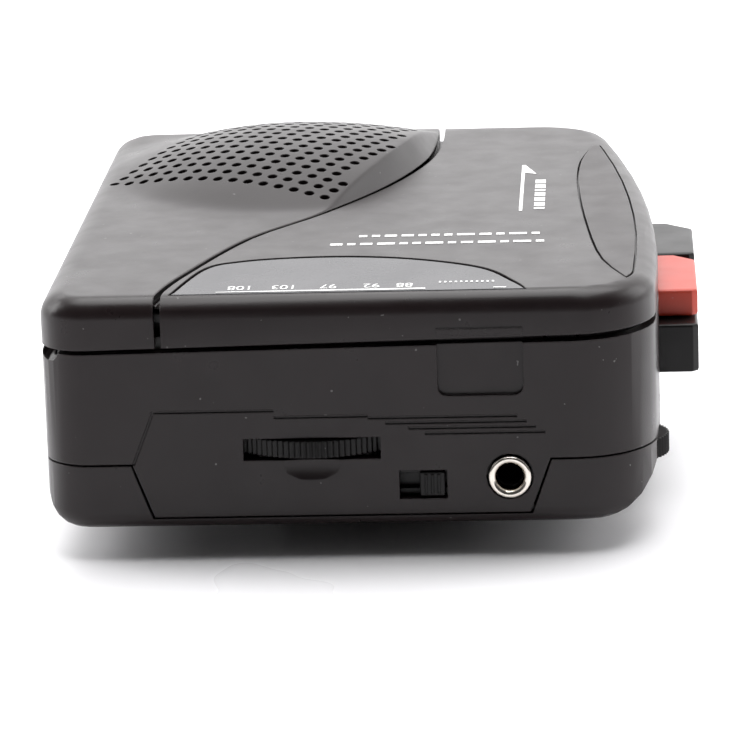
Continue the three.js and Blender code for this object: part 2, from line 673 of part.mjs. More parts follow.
function switchKnob() {
  const half = SWITCH.height / 2 - GAP;
  const right = SWITCH.right - GAP;
  return box(right - SWITCH.knob, right, 0.2, WALL, SWITCH.z - half, SWITCH.z + half)
    .add(box(right - SWITCH.knob + 0.8, right - 0.8, 0.2, WALL + 1.4, SWITCH.z - 0.8, SWITCH.z + 0.8));
}

function switchBody() {
  const slot = box(SWITCH.left - 0.5, SWITCH.right + 0.5, WALL, WALL + 1.8, SWITCH.z - 1.1, SWITCH.z + 1.1);
  return box(SWITCH.left - 1, SWITCH.right + 1, WALL + GAP, 9, ON_BOARD, 9).subtract(slot);
}

function phonesJack() {
  return box(JACK.x - 3.7, JACK.x + 3.7, WALL + GAP, 14, ON_BOARD, 10.6)
    .subtract(rodY(JACK.x, JACK.z, JACK.bore, -1, 12.5, 8));
}

function jackRing() {
  return rodY(JACK.x, JACK.z, JACK.ring, -JACK.proud, WALL, 12)
    .subtract(rodY(JACK.x, JACK.z, JACK.bore, -3, 3, 10));
}

function microphone() {
  const { y, z, radius, length } = MICROPHONE;
  const right = WIDTH - WALL - 0.8;
  return rodX(y, z, radius, right - length, right);
}

// ---------------------------------------------------------------- tape mechanism
function deckPlate() {
  const plate = slab(planOutline(WALL + 1.4), DECK_BOTTOM, DECK_TOP, 0, 4);
  const nearEdge = box(0, WIDTH, 0, CASSETTE.y, 0, HEIGHT);
  const keyRoom = box(KEY_ROOM.left, WIDTH, KEY_ROOM.near, KEY_ROOM.far, 0, HEIGHT);
  const hubs = [-1, 1].map((s) => post(HUB_X, MIDDLE + (s * HUB_SPACING) / 2, 1.5, 0, HEIGHT));
  return plate
    .subtract(nearEdge)
    .subtract(keyRoom)
    .subtract(joined(hubs))
    .subtract(post(CAPSTAN_X, CAPSTAN_Y, 1 + GAP, 0, HEIGHT, 4));
}

const REEL_TABLE = 8.5;
const HUB_SHAFT = 1.2;
const SPINDLE_TOP = CASSETTE_BOTTOM + 9.4;

function spindle(y) {
  const splines = Array.from({ length: 6 }, (_, i) => {
    const angle = (i * Math.PI) / 3;
    const x = HUB_X + 3.1 * Math.cos(angle);
    return post(x, y + 3.1 * Math.sin(angle), 0.9, DECK_TOP + 1, SPINDLE_TOP - 2, 2);
  });
  const core = turned(HUB_X, y, [
    [0, DECK_BOTTOM - 2], [HUB_SHAFT, DECK_BOTTOM - 2], [HUB_SHAFT, DECK_TOP + GAP],
    [REEL_TABLE, DECK_TOP + GAP], [REEL_TABLE, DECK_TOP + GAP + WHEEL_THICKNESS],
    [3.2, DECK_TOP + GAP + WHEEL_THICKNESS], [3.2, SPINDLE_TOP - 1.5], [0, SPINDLE_TOP]], 24);
  return joined([core, ...splines]);
}

const PINION = 3;
const takeUpY = MIDDLE + HUB_SPACING / 2;
const wheelReach = new THREE.Vector2(HUB_X - CAPSTAN_X, takeUpY - CAPSTAN_Y);
const idlerRadius = (wheelReach.length() - PINION - REEL_TABLE - 2 * GAP) / 2;
const idler = wheelReach.clone().setLength(PINION + GAP + idlerRadius)
  .add(new THREE.Vector2(CAPSTAN_X, CAPSTAN_Y));

function idlerWheel() {
  const z0 = DECK_TOP + GAP;
  return post(idler.x, idler.y, idlerRadius, z0, z0 + WHEEL_THICKNESS, 10);
}

const FLYWHEEL = { radius: 16, bottom: 2.8, top: 7 };
const MOTOR = { x: 51, y: 60, radius: 10.3, bottom: 8, pulley: 3 };

function flywheel() {
  return turned(CAPSTAN_X, CAPSTAN_Y, [
    [1.4, FLYWHEEL.bottom], [FLYWHEEL.radius, FLYWHEEL.bottom], [FLYWHEEL.radius, 4.2],
    [FLYWHEEL.radius - 0.8, 4.9], [FLYWHEEL.radius, 5.6], [FLYWHEEL.radius, FLYWHEEL.top],
    [13, FLYWHEEL.top], [13, 5.8], [4, 5.8], [4, 9], [1.4, 9], [1.4, FLYWHEEL.bottom]], 32);
}

function capstan() {
  const z0 = DECK_TOP + GAP;
  const z1 = z0 + WHEEL_THICKNESS;
  return turned(CAPSTAN_X, CAPSTAN_Y, [
    [0, FLYWHEEL.bottom], [1, FLYWHEEL.bottom], [1, z0], [PINION, z0],
    [PINION, z1], [1, z1], [1, TAPE_LEVEL + 4], [0, TAPE_LEVEL + 4]], 16);
}

function motorPulley() {
  return turned(MOTOR.x, MOTOR.y, [
    [0, 3.2], [MOTOR.pulley, 3.2], [MOTOR.pulley - 0.6, 4.9], [MOTOR.pulley, 6.6], [0, 6.6]], 16);
}

function motor() {
  return post(MOTOR.x, MOTOR.y, MOTOR.radius, MOTOR.bottom, DECK_BOTTOM - GAP, 12)
    .add(post(MOTOR.x, MOTOR.y, 2.5, MOTOR.bottom - 1, MOTOR.bottom + 1));
}

// A loop round the motor pulley and the flywheel.
function beltLoop(extra) {
  const a = new THREE.Vector2(MOTOR.x, MOTOR.y);
  const b = new THREE.Vector2(CAPSTAN_X, CAPSTAN_Y);
  const ra = MOTOR.pulley + extra;
  const rb = FLYWHEEL.radius + extra;
  const along = b.clone().sub(a);
  const heading = along.angle();
  const open = Math.acos((rb - ra) / along.length());
  return new THREE.Shape()
    .absarc(b.x, b.y, rb, heading - Math.PI + open, heading + Math.PI - open)
    .absarc(a.x, a.y, ra, heading + Math.PI - open, heading + Math.PI + open);
}

function driveBelt() {
  return slab(beltLoop(GAP + 0.9), 4.5, 5.3, 0, 10).subtract(slab(beltLoop(GAP), 4, 6, 0, 10));
}

const CARRIAGE = { left: 69.5, right: 76.4, near: 44, far: 76 };

function headCarriage() {
  const z0 = DECK_TOP + GAP;
  return box(CARRIAGE.left, CARRIAGE.right, CARRIAGE.near, CARRIAGE.far, z0, z0 + 1);
}

function tapeHead(y, halfWidth, halfHeight) {
  const z0 = DECK_TOP + 1 + 2 * GAP;
  return box(70.6, 75.8, y - halfWidth, y + halfWidth, z0, TAPE_LEVEL + halfHeight)
    .subtract(box(70, 73, y - halfWidth - 1, y + halfWidth + 1, z0 - 1, TAPE_LEVEL - halfHeight));
}

const PINCH = { x: 76, y: 104, rollerX: 73.5, rollerY: 92, radius: 5 };

function pinchArm() {
  const z0 = DECK_TOP + GAP;
  const link = new THREE.Shape()
    .absarc(PINCH.x, PINCH.y, 2.4, 0, Math.PI)
    .absarc(PINCH.rollerX, PINCH.rollerY, 2.4, Math.PI, 2 * Math.PI);
  return joined([
    slab(link, z0, z0 + 1.2),
    post(PINCH.rollerX, PINCH.rollerY, 0.9, z0, TAPE_LEVEL + 4, 4),
    post(PINCH.x, PINCH.y, 1.2, z0, z0 + 3, 4),
  ]);
}

function pinchRoller() {
  return rotorRing(PINCH.rollerX, PINCH.rollerY, 0.9 + GAP, PINCH.radius, DECK_TOP + 2.2, TAPE_LEVEL + 3.4);
}

// ---------------------------------------------------------------- keys
// A short cap leaves room, when pressed, for the upper keys' bars behind it.
function backOf({ short }) {
  return short ? KEY_BACK + KEY_TRAVEL : KEY_BACK;
}

function keyCap(key) {
  const { row, near, far, chamfer } = key;
  const back = backOf(key);
  const outline = polygon([
    [back, near], [KEY_END - 0.8, near], [KEY_END, near + 0.8],
    [KEY_END, far - chamfer], [KEY_END - chamfer, far], [back, far],
  ]);
  return slab(outline, row.bottom, row.top, 0.5);
}

// The key's bar under the deck, with the tab that its return spring pushes.
function keyBar(key) {
  const { row, lever } = key;
  const y0 = lever - LEVER.width / 2;
  const y1 = lever + LEVER.width / 2;
  const top = DECK_BOTTOM - GAP;
  const bottom = top - LEVER.thickness;
  const legTop = row === UPPER_ROW ? row.top - 1 : row.bottom + 3;
  const legBack = row === UPPER_ROW ? LEVER.legBack : backOf(key) - 1;
  return joined([
    box(LEVER.inner, legBack + 1, y0, y1, bottom, top),
    box(LEVER.inner, LEVER.inner + 1, y0, y1, bottom - 2.2, top),
    box(legBack, legBack + 1, y0, y1, bottom, legTop),
    box(legBack, backOf(key) + 1, y0, y1, row.bottom + 1, row.bottom + 3),
  ]);
}

function keyBody(key) {
  return keyCap(key).add(keyBar(key));
}

const SPRING_BACK = LEVER.inner - SPRING_ROOM;
const springZ = DECK_BOTTOM - GAP - LEVER.thickness - 1;

function keySpring({ lever }) {
  return rodX(lever, springZ, SPRING_RADIUS, SPRING_BACK, LEVER.inner - GAP, 4)
    .subtract(rodX(lever, springZ, SPRING_RADIUS - SPRING_WIRE, SPRING_BACK - 1, LEVER.inner + 1, 4));
}

function springBracket() {
  const levers = KEYS.map((key) => key.lever);
  const near = Math.min(...levers) - 3;
  const far = Math.max(...levers) + 3;
  const back = SPRING_BACK - GAP;
  return box(back - BRACKET, back, near, far, springZ - 2, DECK_BOTTOM - GAP);
}

// ---------------------------------------------------------------- belt clip, batteries
function beltClip() {
  const left = CLIP.x - CLIP.width / 2;
  const right = CLIP.x + CLIP.width / 2;
  const top = CLIP.bottom + CLIP.thickness;
  const profile = polygon([
    [CLIP.near, CLIP.bottom + 1.4], [CLIP.near + 4, CLIP.bottom], [CLIP.far, CLIP.bottom],
    [CLIP.far, top], [CLIP.near + 4, top], [CLIP.near + 1, top + 1.6], [CLIP.near, top + 1.2],
  ]);
  const knuckles = [clipEars[0] + 2.5 + GAP, clipEars[1] - GAP - 2].map((x) => joined([
    box(x, x + 2, CLIP.pivot - 1.6, CLIP.pivot + 1.6, CLIP.bottom + 0.5, clipPivotZ),
    rodX(CLIP.pivot, clipPivotZ, 1.6, x, x + 2),
  ]));
  return prismX(profile, left, right)
    .subtract(clipEarRoom())
    .add(joined(knuckles))
    .subtract(rodX(CLIP.pivot, clipPivotZ, CLIP_PIN + GAP, left, right, 4));
}

// Slots in the clip's plate that leave room for the housing's ears.
function clipEarRoom() {
  return joined(clipEars.map((x) =>
    box(x - GAP, x + 2.5 + GAP, CLIP.pivot - 2.4, CLIP.pivot + 2.4, CLIP.bottom - 1, 0)));
}

function clipPin() {
  return rodX(CLIP.pivot, clipPivotZ, CLIP_PIN, clipEars[0] + 0.2, clipEars[1] + 2.3, 4);
}

function batterySpring(index) {
  const x = BAY.x + BAY.spare / 4 + CELL.diameter * (index + 0.5) + (index * BAY.spare) / 2;
  const z = BATTERY_DOOR_THICKNESS + GAP + CELL.diameter / 2;
  const cone = new THREE.LatheGeometry([
    new THREE.Vector2(2.6, 3.8), new THREE.Vector2(3.8, 0), new THREE.Vector2(4.6, 0),
    new THREE.Vector2(3.2, 3.8), new THREE.Vector2(2.6, 3.8)], 14);
  return solid(cone.translate(x, BAY.y + GAP, z));
}

function contactStrip() {
  const z = BATTERY_DOOR_THICKNESS + GAP + CELL.diameter / 2;
  return box(BAY.x + 4, BAY_RIGHT - 4, BAY_FAR - GAP - 0.6, BAY_FAR - GAP, z - 4, z + 4);
}

function caseScrew(x, y) {
  return turned(x, y, [
    [0, 0.2], [SCREW.head, 0.2], [SCREW.head, SCREW.headHeight], [SCREW.shank, SCREW.headHeight],
    [SCREW.shank, DECK_BOTTOM - 2], [0, DECK_BOTTOM - 1]], 10);
}

// ---------------------------------------------------------------- materials
const finish = (color, roughness, metalness = 0) =>
  new THREE.MeshStandardMaterial({ color, roughness, metalness });
const charcoal = finish(0x2b2827, 0.5);
const blackPlastic = finish(0x1b1a1a, 0.45);
const lensPlastic = finish(0x303035, 0.2);
const redPlastic = finish(0xc03a2a, 0.45);
const nickel = finish(0xc9c2b8, 0.25, 1);
const steel = finish(0xa7a9ac, 0.35, 1);
const brass = finish(0xb58d3f, 0.35, 1);
const rubber = finish(0x191919, 0.85);
const boardGreen = finish(0x2f6b3c, 0.6);
const whitePlastic = finish(0xd8d6cf, 0.5);
const conePaper = finish(0x3a3835, 0.9);

// ---------------------------------------------------------------- the assembly
const recorder = new THREE.Group();

function place(name, made, material) {
  const mesh = made.getMesh();
  const geometry = new THREE.BufferGeometry();
  geometry.setAttribute("position", new THREE.BufferAttribute(new Float32Array(mesh.vertProperties), 3));
  geometry.setIndex(new THREE.BufferAttribute(new Uint32Array(mesh.triVerts), 1));
  geometry.computeVertexNormals();
  const node = new THREE.Mesh(geometry, material);
  node.name = name;
  recorder.add(node);
}

place("front_housing", frontHousing(), charcoal);
place("rear_housing", rearHousing(), charcoal);
place("battery_door", batteryDoor(), charcoal);

place("speaker_cover", speakerCover(), charcoal);
place("door_panel", doorPanel(), charcoal);
place("dial_lens", slab(lensOutline(0), HEIGHT - LENS_THICKNESS, HEIGHT - 0.05), lensPlastic);
place("side_inlay", sideInlay(), lensPlastic);
place("door_frame", doorFrame(), blackPlastic);
place("door_latch", doorLatch(), blackPlastic);
place("speaker_frame", speakerFrame(), steel);
place("speaker_cone", speakerCone(), conePaper);
place("hinge_pin_near", hingePin(0), steel);
place("hinge_pin_far", hingePin(1), steel);

place("circuit_board", circuitBoard(), boardGreen);
place("tuning_capacitor", tuningCapacitor(), whitePlastic);
place("tuning_wheel", tuningWheel(), blackPlastic);
place("pointer_rail", rail(0), steel);
place("tuning_pointer", tuningPointer(), redPlastic);
place("volume_pot", volumePot(), steel);
place("volume_wheel", volumeWheel(), blackPlastic);
place("switch_body", switchBody(), steel);
place("switch_knob", switchKnob(), blackPlastic);
place("phones_jack", phonesJack(), blackPlastic);
place("jack_ring", jackRing(), nickel);
place("microphone", microphone(), steel);

place("deck_plate", deckPlate(), steel);
place("motor", motor(), steel);
place("motor_pulley", motorPulley(), brass);
place("flywheel", flywheel(), brass);
place("capstan", capstan(), steel);
place("drive_belt", driveBelt(), rubber);
place("idler_wheel", idlerWheel(), rubber);
place("supply_spindle", spindle(MIDDLE - HUB_SPACING / 2), whitePlastic);
place("take_up_spindle", spindle(takeUpY), whitePlastic);
place("head_carriage", headCarriage(), steel);
place("record_play_head", tapeHead(MIDDLE, 5.5, 4), nickel);
place("erase_head", tapeHead(MIDDLE + 12, 3, 3.5), blackPlastic);
place("pinch_arm", pinchArm(), steel);
place("pinch_roller", pinchRoller(), rubber);

for (const key of KEYS) {
  place(key.name, keyBody(key), key.red ? redPlastic : blackPlastic);
  place(key.name.replace("key", "spring"), keySpring(key), steel);
}
place("spring_bracket", springBracket(), steel);

place("belt_clip", beltClip(), blackPlastic);
place("clip_pin", clipPin(), steel);
place("battery_spring_left", batterySpring(0), nickel);
place("battery_spring_right", batterySpring(1), nickel);
place("contact_strip", contactStrip(), nickel);
bossPlaces.forEach(([x, y], i) => place(`case_screw_${i + 1}`, caseScrew(x, y), steel));

recorder.position.set(-KEY_END / 2, (TUNING.proud - DEPTH) / 2, -CLIP.bottom);

export default recorder;
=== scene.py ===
"""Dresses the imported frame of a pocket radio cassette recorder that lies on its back.

Places are given in millimetres from the body's near left bottom corner: x across the
body, y away from the end with the phones jack, z up.
"""
import json
import math
import random

import bmesh
import bpy
from bpy.props import FloatProperty, FloatVectorProperty, IntProperty, PointerProperty
from mathutils import Matrix, Vector


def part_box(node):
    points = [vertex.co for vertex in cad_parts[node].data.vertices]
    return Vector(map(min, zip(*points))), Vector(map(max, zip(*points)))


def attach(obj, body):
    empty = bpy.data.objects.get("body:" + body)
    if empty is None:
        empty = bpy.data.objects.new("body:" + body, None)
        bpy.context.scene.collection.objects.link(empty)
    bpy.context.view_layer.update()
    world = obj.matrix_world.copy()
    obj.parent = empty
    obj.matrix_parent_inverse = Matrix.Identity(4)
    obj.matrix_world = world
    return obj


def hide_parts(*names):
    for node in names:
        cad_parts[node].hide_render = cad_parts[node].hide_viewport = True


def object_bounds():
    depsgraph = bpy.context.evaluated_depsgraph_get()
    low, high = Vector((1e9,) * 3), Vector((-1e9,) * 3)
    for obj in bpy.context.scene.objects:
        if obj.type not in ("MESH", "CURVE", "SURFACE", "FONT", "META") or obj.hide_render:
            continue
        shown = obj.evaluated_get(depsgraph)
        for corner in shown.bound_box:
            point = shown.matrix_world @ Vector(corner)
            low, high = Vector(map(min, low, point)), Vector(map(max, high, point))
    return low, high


bl_info = {
    "name": "Pocket radio recorder",
    "version": (1, 0, 0),
    "blender": (4, 5, 0),
    "location": "3D View > Sidebar > Recorder",
    "description": "Builds the outer pieces, finishes and studio of a pocket radio recorder",
    "category": "Object",
}

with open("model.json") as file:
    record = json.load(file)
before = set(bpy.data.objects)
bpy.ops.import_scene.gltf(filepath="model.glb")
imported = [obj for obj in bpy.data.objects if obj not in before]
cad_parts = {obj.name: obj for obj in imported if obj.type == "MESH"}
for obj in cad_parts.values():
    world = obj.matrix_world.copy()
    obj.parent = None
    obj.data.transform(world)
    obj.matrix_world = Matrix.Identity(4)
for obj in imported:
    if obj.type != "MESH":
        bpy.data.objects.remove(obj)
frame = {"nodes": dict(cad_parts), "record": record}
cad_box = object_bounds()

MM = 0.001
BODY_OF = {node: body for body, nodes in frame["record"]["behaviour"]["bodies"].items()
           for node in nodes}
SLOT_OF = {part["node"]: part["material_slot"] for part in frame["record"]["subparts"]}

# ---------------------------------------------------------------- the body's sizes
HOUSING_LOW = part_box("front_housing")[0]
PANEL_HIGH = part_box("door_panel")[1]
WIDTH = (PANEL_HIGH.x - HOUSING_LOW.x) / MM
DEPTH = (PANEL_HIGH.y - HOUSING_LOW.y) / MM
HEIGHT = 34.0
CORNER = Vector((HOUSING_LOW.x, HOUSING_LOW.y, PANEL_HIGH.z - HEIGHT * MM))
WALL = 1.8
GAP = 0.3
LEFT_CORNER = 7.0
RIM = 3.0
SIDE_RIM = 3.5
SEAM_LEFT = 26.6
SEAM_RISE = 1.4


def at(x, y, z=0.0):
    """A place in millimetres from the body's corner, as a point in the frame."""
    return CORNER + Vector((x, y, z)) * MM


def box_of(node):
    """A CAD node's lowest and highest corners, in millimetres from the body's corner."""
    low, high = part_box(node)
    return (low - CORNER) / MM, (high - CORNER) / MM


def middle_of(low, high):
    """The middle of a box, as x, y and z."""
    return tuple((a + b) / 2 for a, b in zip(low, high))


# ---------------------------------------------------------------- settings in the sidebar
class RecorderFinish(bpy.types.PropertyGroup):
    """Colours of the mouldings and prints."""

    charcoal: FloatVectorProperty(
        name="Casing", description="Colour of the casings", subtype="COLOR",
        default=(0.0120, 0.0078, 0.0082), size=3, min=0, max=1)
    black: FloatVectorProperty(
        name="Keys", description="Colour of the black keys, wheels and clip", subtype="COLOR",
        default=(0.0040, 0.0035, 0.0035), size=3, min=0, max=1)
    red: FloatVectorProperty(
        name="Record key", description="Colour of the record key", subtype="COLOR",
        default=(0.50, 0.048, 0.024), size=3, min=0, max=1)
    prints: FloatVectorProperty(
        name="Prints", description="Colour of the printed marks", subtype="COLOR",
        default=(0.80, 0.80, 0.79), size=3, min=0, max=1)


class RecorderSizes(bpy.types.PropertyGroup):
    """Sizes of the pieces that are finer than the frame's."""

    hole: FloatProperty(
        name="Grille hole", description="Diameter of a hole in the speaker grille",
        default=1.58 * MM, min=0.5 * MM, max=2.5 * MM, unit="LENGTH", precision=5)
    crest: FloatProperty(
        name="Dome height", description="Rise of the speaker dome above the door",
        default=5.2 * MM, min=0, max=6 * MM, unit="LENGTH", precision=5)
    ribs: IntProperty(
        name="Tuning wheel ribs", description="Grip ribs round the tuning wheel",
        default=110, min=40, max=200)
    digit: FloatProperty(
        name="Dial figures", description="Height of the figures on the dial",
        default=2.3 * MM, min=1 * MM, max=5 * MM, unit="LENGTH", precision=5)


class RecorderStudio(bpy.types.PropertyGroup):
    """Camera and light."""

    azimuth: FloatProperty(
        name="Azimuth", description="Camera's turn to the right of the jack end",
        default=math.radians(3.361), subtype="ANGLE")
    elevation: FloatProperty(
        name="Elevation", description="Camera's height as an angle",
        default=math.radians(14.915), subtype="ANGLE")
    roll: FloatProperty(
        name="Roll", description="Camera's roll about its line of sight",
        default=math.radians(-1.895), subtype="ANGLE")
    distance: FloatProperty(
        name="Distance", description="Camera's distance from the middle of the jack end",
        default=626.9 * MM, unit="LENGTH", precision=4)
    focal: FloatProperty(
        name="Focal length", description="Focal length on a 36 mm wide sensor, in millimetres",
        default=218.0, min=50, max=400)
    sky: FloatProperty(
        name="Surround", description="Strength of the white surround", default=0.92, min=0, max=3)


# ---------------------------------------------------------------- node wiring
class Net:
    """A material and short ways to wire its nodes."""

    def __init__(self, name):
        self.material = bpy.data.materials.new(name)
        self.material.use_nodes = True
        self.tree = self.material.node_tree
        self.shader = self.tree.nodes["Principled BSDF"]
        self.place = self.add("ShaderNodeTexCoord").outputs["Object"]

    def add(self, kind, **settings):
        node = self.tree.nodes.new(kind)
        for key, value in settings.items():
            setattr(node, key, value)
        return node

    def join(self, value, socket):
        if isinstance(value, bpy.types.NodeSocket):
            self.tree.links.new(value, socket)
        else:
            socket.default_value = value

    def set(self, **values):
        """Sets the shader's sockets; an underscore stands for a space."""
        for key, value in values.items():
            self.join(value, self.shader.inputs[key.replace("_", " ")])

    def noise(self, size, detail=2.0, stretch=(1, 1, 1), rough=0.5):
        """Noise whose blotches are about size millimetres across."""
        mapping = self.add("ShaderNodeMapping")
        mapping.inputs["Scale"].default_value = stretch
        self.join(self.place, mapping.inputs["Vector"])
        noise = self.add("ShaderNodeTexNoise")
        noise.inputs["Scale"].default_value = 1 / (size * MM)
        noise.inputs["Detail"].default_value = detail
        noise.inputs["Roughness"].default_value = rough
        self.join(mapping.outputs["Vector"], noise.inputs["Vector"])
        return noise.outputs["Fac"]

    def ranged(self, value, low, high, to_low, to_high):
        node = self.add("ShaderNodeMapRange")
        self.join(value, node.inputs["Value"])
        for key, number in (("From Min", low), ("From Max", high),
                            ("To Min", to_low), ("To Max", to_high)):
            node.inputs[key].default_value = number
        return node.outputs["Result"]

    def math(self, operation, a, b):
        node = self.add("ShaderNodeMath", operation=operation)
        self.join(a, node.inputs[0])
        self.join(b, node.inputs[1])
        return node.outputs["Value"]

    def mixed(self, share, a, b):
        """Colour a where share is 0 and b where it is 1."""
        node = self.add("ShaderNodeMix", data_type="RGBA")
        self.join(share, node.inputs["Factor"])
        for socket, colour in ((node.inputs[6], a), (node.inputs[7], b)):
            self.join(colour if isinstance(colour, bpy.types.NodeSocket) else (*colour, 1), socket)
        return node.outputs[2]

    def rounded(self, radius):
        """The surface's normal with its edges rounded by radius millimetres."""
        node = self.add("ShaderNodeBevel", samples=4)
        node.inputs["Radius"].default_value = radius * MM
        return node.outputs["Normal"]

    def edges(self, rounded):
        """How near a place is to an outward edge, from 0 to 1."""
        geometry = self.add("ShaderNodeNewGeometry")
        dot = self.add("ShaderNodeVectorMath", operation="DOT_PRODUCT")
        self.join(rounded, dot.inputs[0])
        self.join(geometry.outputs["Normal"], dot.inputs[1])
        return self.ranged(dot.outputs["Value"], 0.98, 0.72, 0.0, 1.0)

    def bump(self, height, depth, normal=None, strength=1.0):
        node = self.add("ShaderNodeBump")
        node.inputs["Distance"].default_value = depth * MM
        node.inputs["Strength"].default_value = strength
        self.join(height, node.inputs["Height"])
        if normal is not None:
            self.join(normal, node.inputs["Normal"])
        return node.outputs["Normal"]


def scaled(colour, factor):
    """The colour made lighter or darker."""
    return tuple(min(1.0, channel * factor) for channel in colour)


DUST = (0.42, 0.41, 0.40)


def moulded(name, colour, rough, grain=0.28, depth=0.012, edge=0.25, wear=1.5, dust=0.25,
            specular=0.5):
    """Moulded plastic: spark-eroded grain, rubbed edges, faint blotches and a little dust."""
    net = Net(name)
    rounded = net.rounded(edge)
    rubbed = net.math("MULTIPLY", net.edges(rounded), net.noise(2.2, 3.0))
    blotches = net.noise(17.0, 3.0)
    body = net.mixed(net.ranged(blotches, 0.3, 0.7, 0.0, 1.0),
                     scaled(colour, 0.88), scaled(colour, 1.12))
    worn = net.mixed(rubbed, body, scaled(colour, wear))
    specks = net.ranged(net.noise(0.9, 1.0), 0.785, 0.80, 0.0, dust)
    net.set(Base_Color=net.mixed(specks, worn, DUST))
    polish = net.ranged(net.noise(5.0, 4.0), 0.25, 0.75, rough - 0.035, rough + 0.045)
    net.set(Roughness=net.math("SUBTRACT", polish, net.math("MULTIPLY", rubbed, 0.10)))
    grain_height = net.noise(grain, 2.0, rough=0.6)
    net.set(Normal=net.bump(grain_height, depth, rounded, 0.6))
    net.set(Specular_IOR_Level=specular)
    return net.material


def metal(name, colour, rough, stretch=(1, 1, 1), scratch=0.0015, edge=0.12):
    """Plated or turned metal: fine drawn scratches, dull patches and polished edges."""
    net = Net(name)
    rounded = net.rounded(edge)
    lines = net.noise(0.35, 3.0, stretch)
    patches = net.noise(4.0, 3.0)
    net.set(Metallic=1.0)
    net.set(Base_Color=net.mixed(net.ranged(patches, 0.3, 0.7, 0.0, 1.0),
                                 scaled(colour, 0.9), colour))
    dull = net.math("MULTIPLY", lines, net.ranged(patches, 0.3, 0.7, 0.6, 1.2))
    net.set(Roughness=net.ranged(dull, 0.2, 0.8, rough * 0.7, rough * 1.4))
    net.set(Normal=net.bump(lines, scratch, rounded, 0.5))
    return net.material


def lens_finish():
    """Smoked acrylic: smooth, hard and a little scuffed."""
    net = Net("smoked_lens")
    rounded = net.rounded(0.15)
    haze = net.noise(9.0, 4.0)
    scuffs = net.ranged(net.noise(1.1, 5.0, (1, 14, 1)), 0.60, 0.72, 0.0, 0.16)
    net.set(Base_Color=net.mixed(haze, (0.030, 0.029, 0.034), (0.040, 0.039, 0.044)))
    net.set(Roughness=net.math("ADD", net.ranged(haze, 0.3, 0.7, 0.24, 0.30), scuffs))
    net.set(Normal=net.bump(net.noise(30.0, 1.0), 0.01, rounded, 0.3))
    net.set(Specular_IOR_Level=0.30, Coat_Weight=0.05, Coat_Roughness=0.08)
    return net.material


def rubber_finish():
    """Black rubber with a dusty bloom."""
    net = Net("belt_rubber")
    bloom = net.noise(3.0, 4.0)
    net.set(Base_Color=net.mixed(bloom, (0.010, 0.010, 0.010), (0.035, 0.034, 0.033)))
    net.set(Roughness=net.ranged(bloom, 0.3, 0.7, 0.72, 0.9))
    net.set(Normal=net.bump(net.noise(0.2, 2.0), 0.01))
    return net.material


def board_finish():
    """Green solder mask over copper tracks."""
    net = Net("board")
    tracks = net.add("ShaderNodeTexBrick")
    tracks.inputs["Scale"].default_value = 1 / (9 * MM)
    tracks.inputs["Mortar Size"].default_value = 0.07
    net.join(net.place, tracks.inputs["Vector"])
    tint = net.mixed(tracks.outputs["Fac"], (0.020, 0.105, 0.040), (0.035, 0.165, 0.060))
    net.set(Base_Color=net.mixed(net.noise(4.0, 3.0), scaled((0.02, 0.1, 0.04), 0.8), tint))
    net.set(Roughness=net.ranged(net.noise(2.0, 3.0), 0.3, 0.7, 0.28, 0.42))
    net.set(Normal=net.bump(tracks.outputs["Fac"], 0.03, net.rounded(0.1), 0.5))
    return net.material


def cone_finish():
    """Pressed paper with fibres."""
    net = Net("cone_paper")
    fibres = net.noise(0.5, 5.0, (1, 3, 1))
    net.set(Base_Color=net.mixed(fibres, (0.018, 0.017, 0.016), (0.06, 0.057, 0.053)))
    net.set(Roughness=net.ranged(fibres, 0.3, 0.7, 0.8, 0.95))
    net.set(Normal=net.bump(fibres, 0.05))
    return net.material


def print_finish(name, colour):
    """Screen-printed ink, slightly worn through."""
    net = Net(name)
    worn = net.ranged(net.noise(0.35, 4.0), 0.62, 0.72, 0.0, 0.6)
    net.set(Base_Color=net.mixed(worn, colour, scaled(colour, 0.35)))
    net.set(Roughness=net.ranged(net.noise(1.0, 3.0), 0.3, 0.7, 0.40, 0.55))
    net.set(Normal=net.bump(net.noise(0.15, 2.0), 0.005))
    return net.material


def floor_finish():
    """White satin board."""
    net = Net("floor_board")
    faint = net.noise(60.0, 3.0)
    net.set(Base_Color=net.mixed(faint, (0.93, 0.925, 0.945), (0.95, 0.945, 0.96)))
    net.set(Roughness=net.ranged(faint, 0.3, 0.7, 0.26, 0.32))
    net.set(Specular_IOR_Level=0.35)
    return net.material


FINISHES = {}


def make_finishes(finish):
    """Makes every material, with the sidebar's colours."""
    charcoal, black, red = tuple(finish.charcoal), tuple(finish.black), tuple(finish.red)
    FINISHES.update({
        "charcoal_housing": moulded("charcoal_housing", charcoal, 0.30, specular=0.31),
        "black_plastic": moulded("black_plastic", black, 0.33, specular=0.25, depth=0.006,
                                 wear=2.2),
        "smoked_lens": lens_finish(),
        "grip_inlay": moulded("grip_inlay", scaled(charcoal, 1.15), 0.34, specular=0.31,
                              grain=0.2, depth=0.007),
        "red_plastic": moulded("red_plastic", red, 0.36, depth=0.006, wear=1.25, dust=0.15,
                               specular=0.4, edge=0.35),
        "bright_nickel": metal("bright_nickel", (0.80, 0.75, 0.68), 0.13, edge=0.2),
        "steel": metal("steel", (0.60, 0.61, 0.62), 0.30, (1, 12, 1)),
        "brass": metal("brass", (0.72, 0.52, 0.24), 0.26, (1, 1, 10)),
        "belt_rubber": rubber_finish(),
        "board": board_finish(),
        "white_plastic": moulded("white_plastic", (0.72, 0.70, 0.65), 0.42, depth=0.005, wear=1.1),
        "cone_paper": cone_finish(),
        "print_ink": print_finish("print_ink", tuple(finish.prints)),
        "floor_board": floor_finish(),
    })


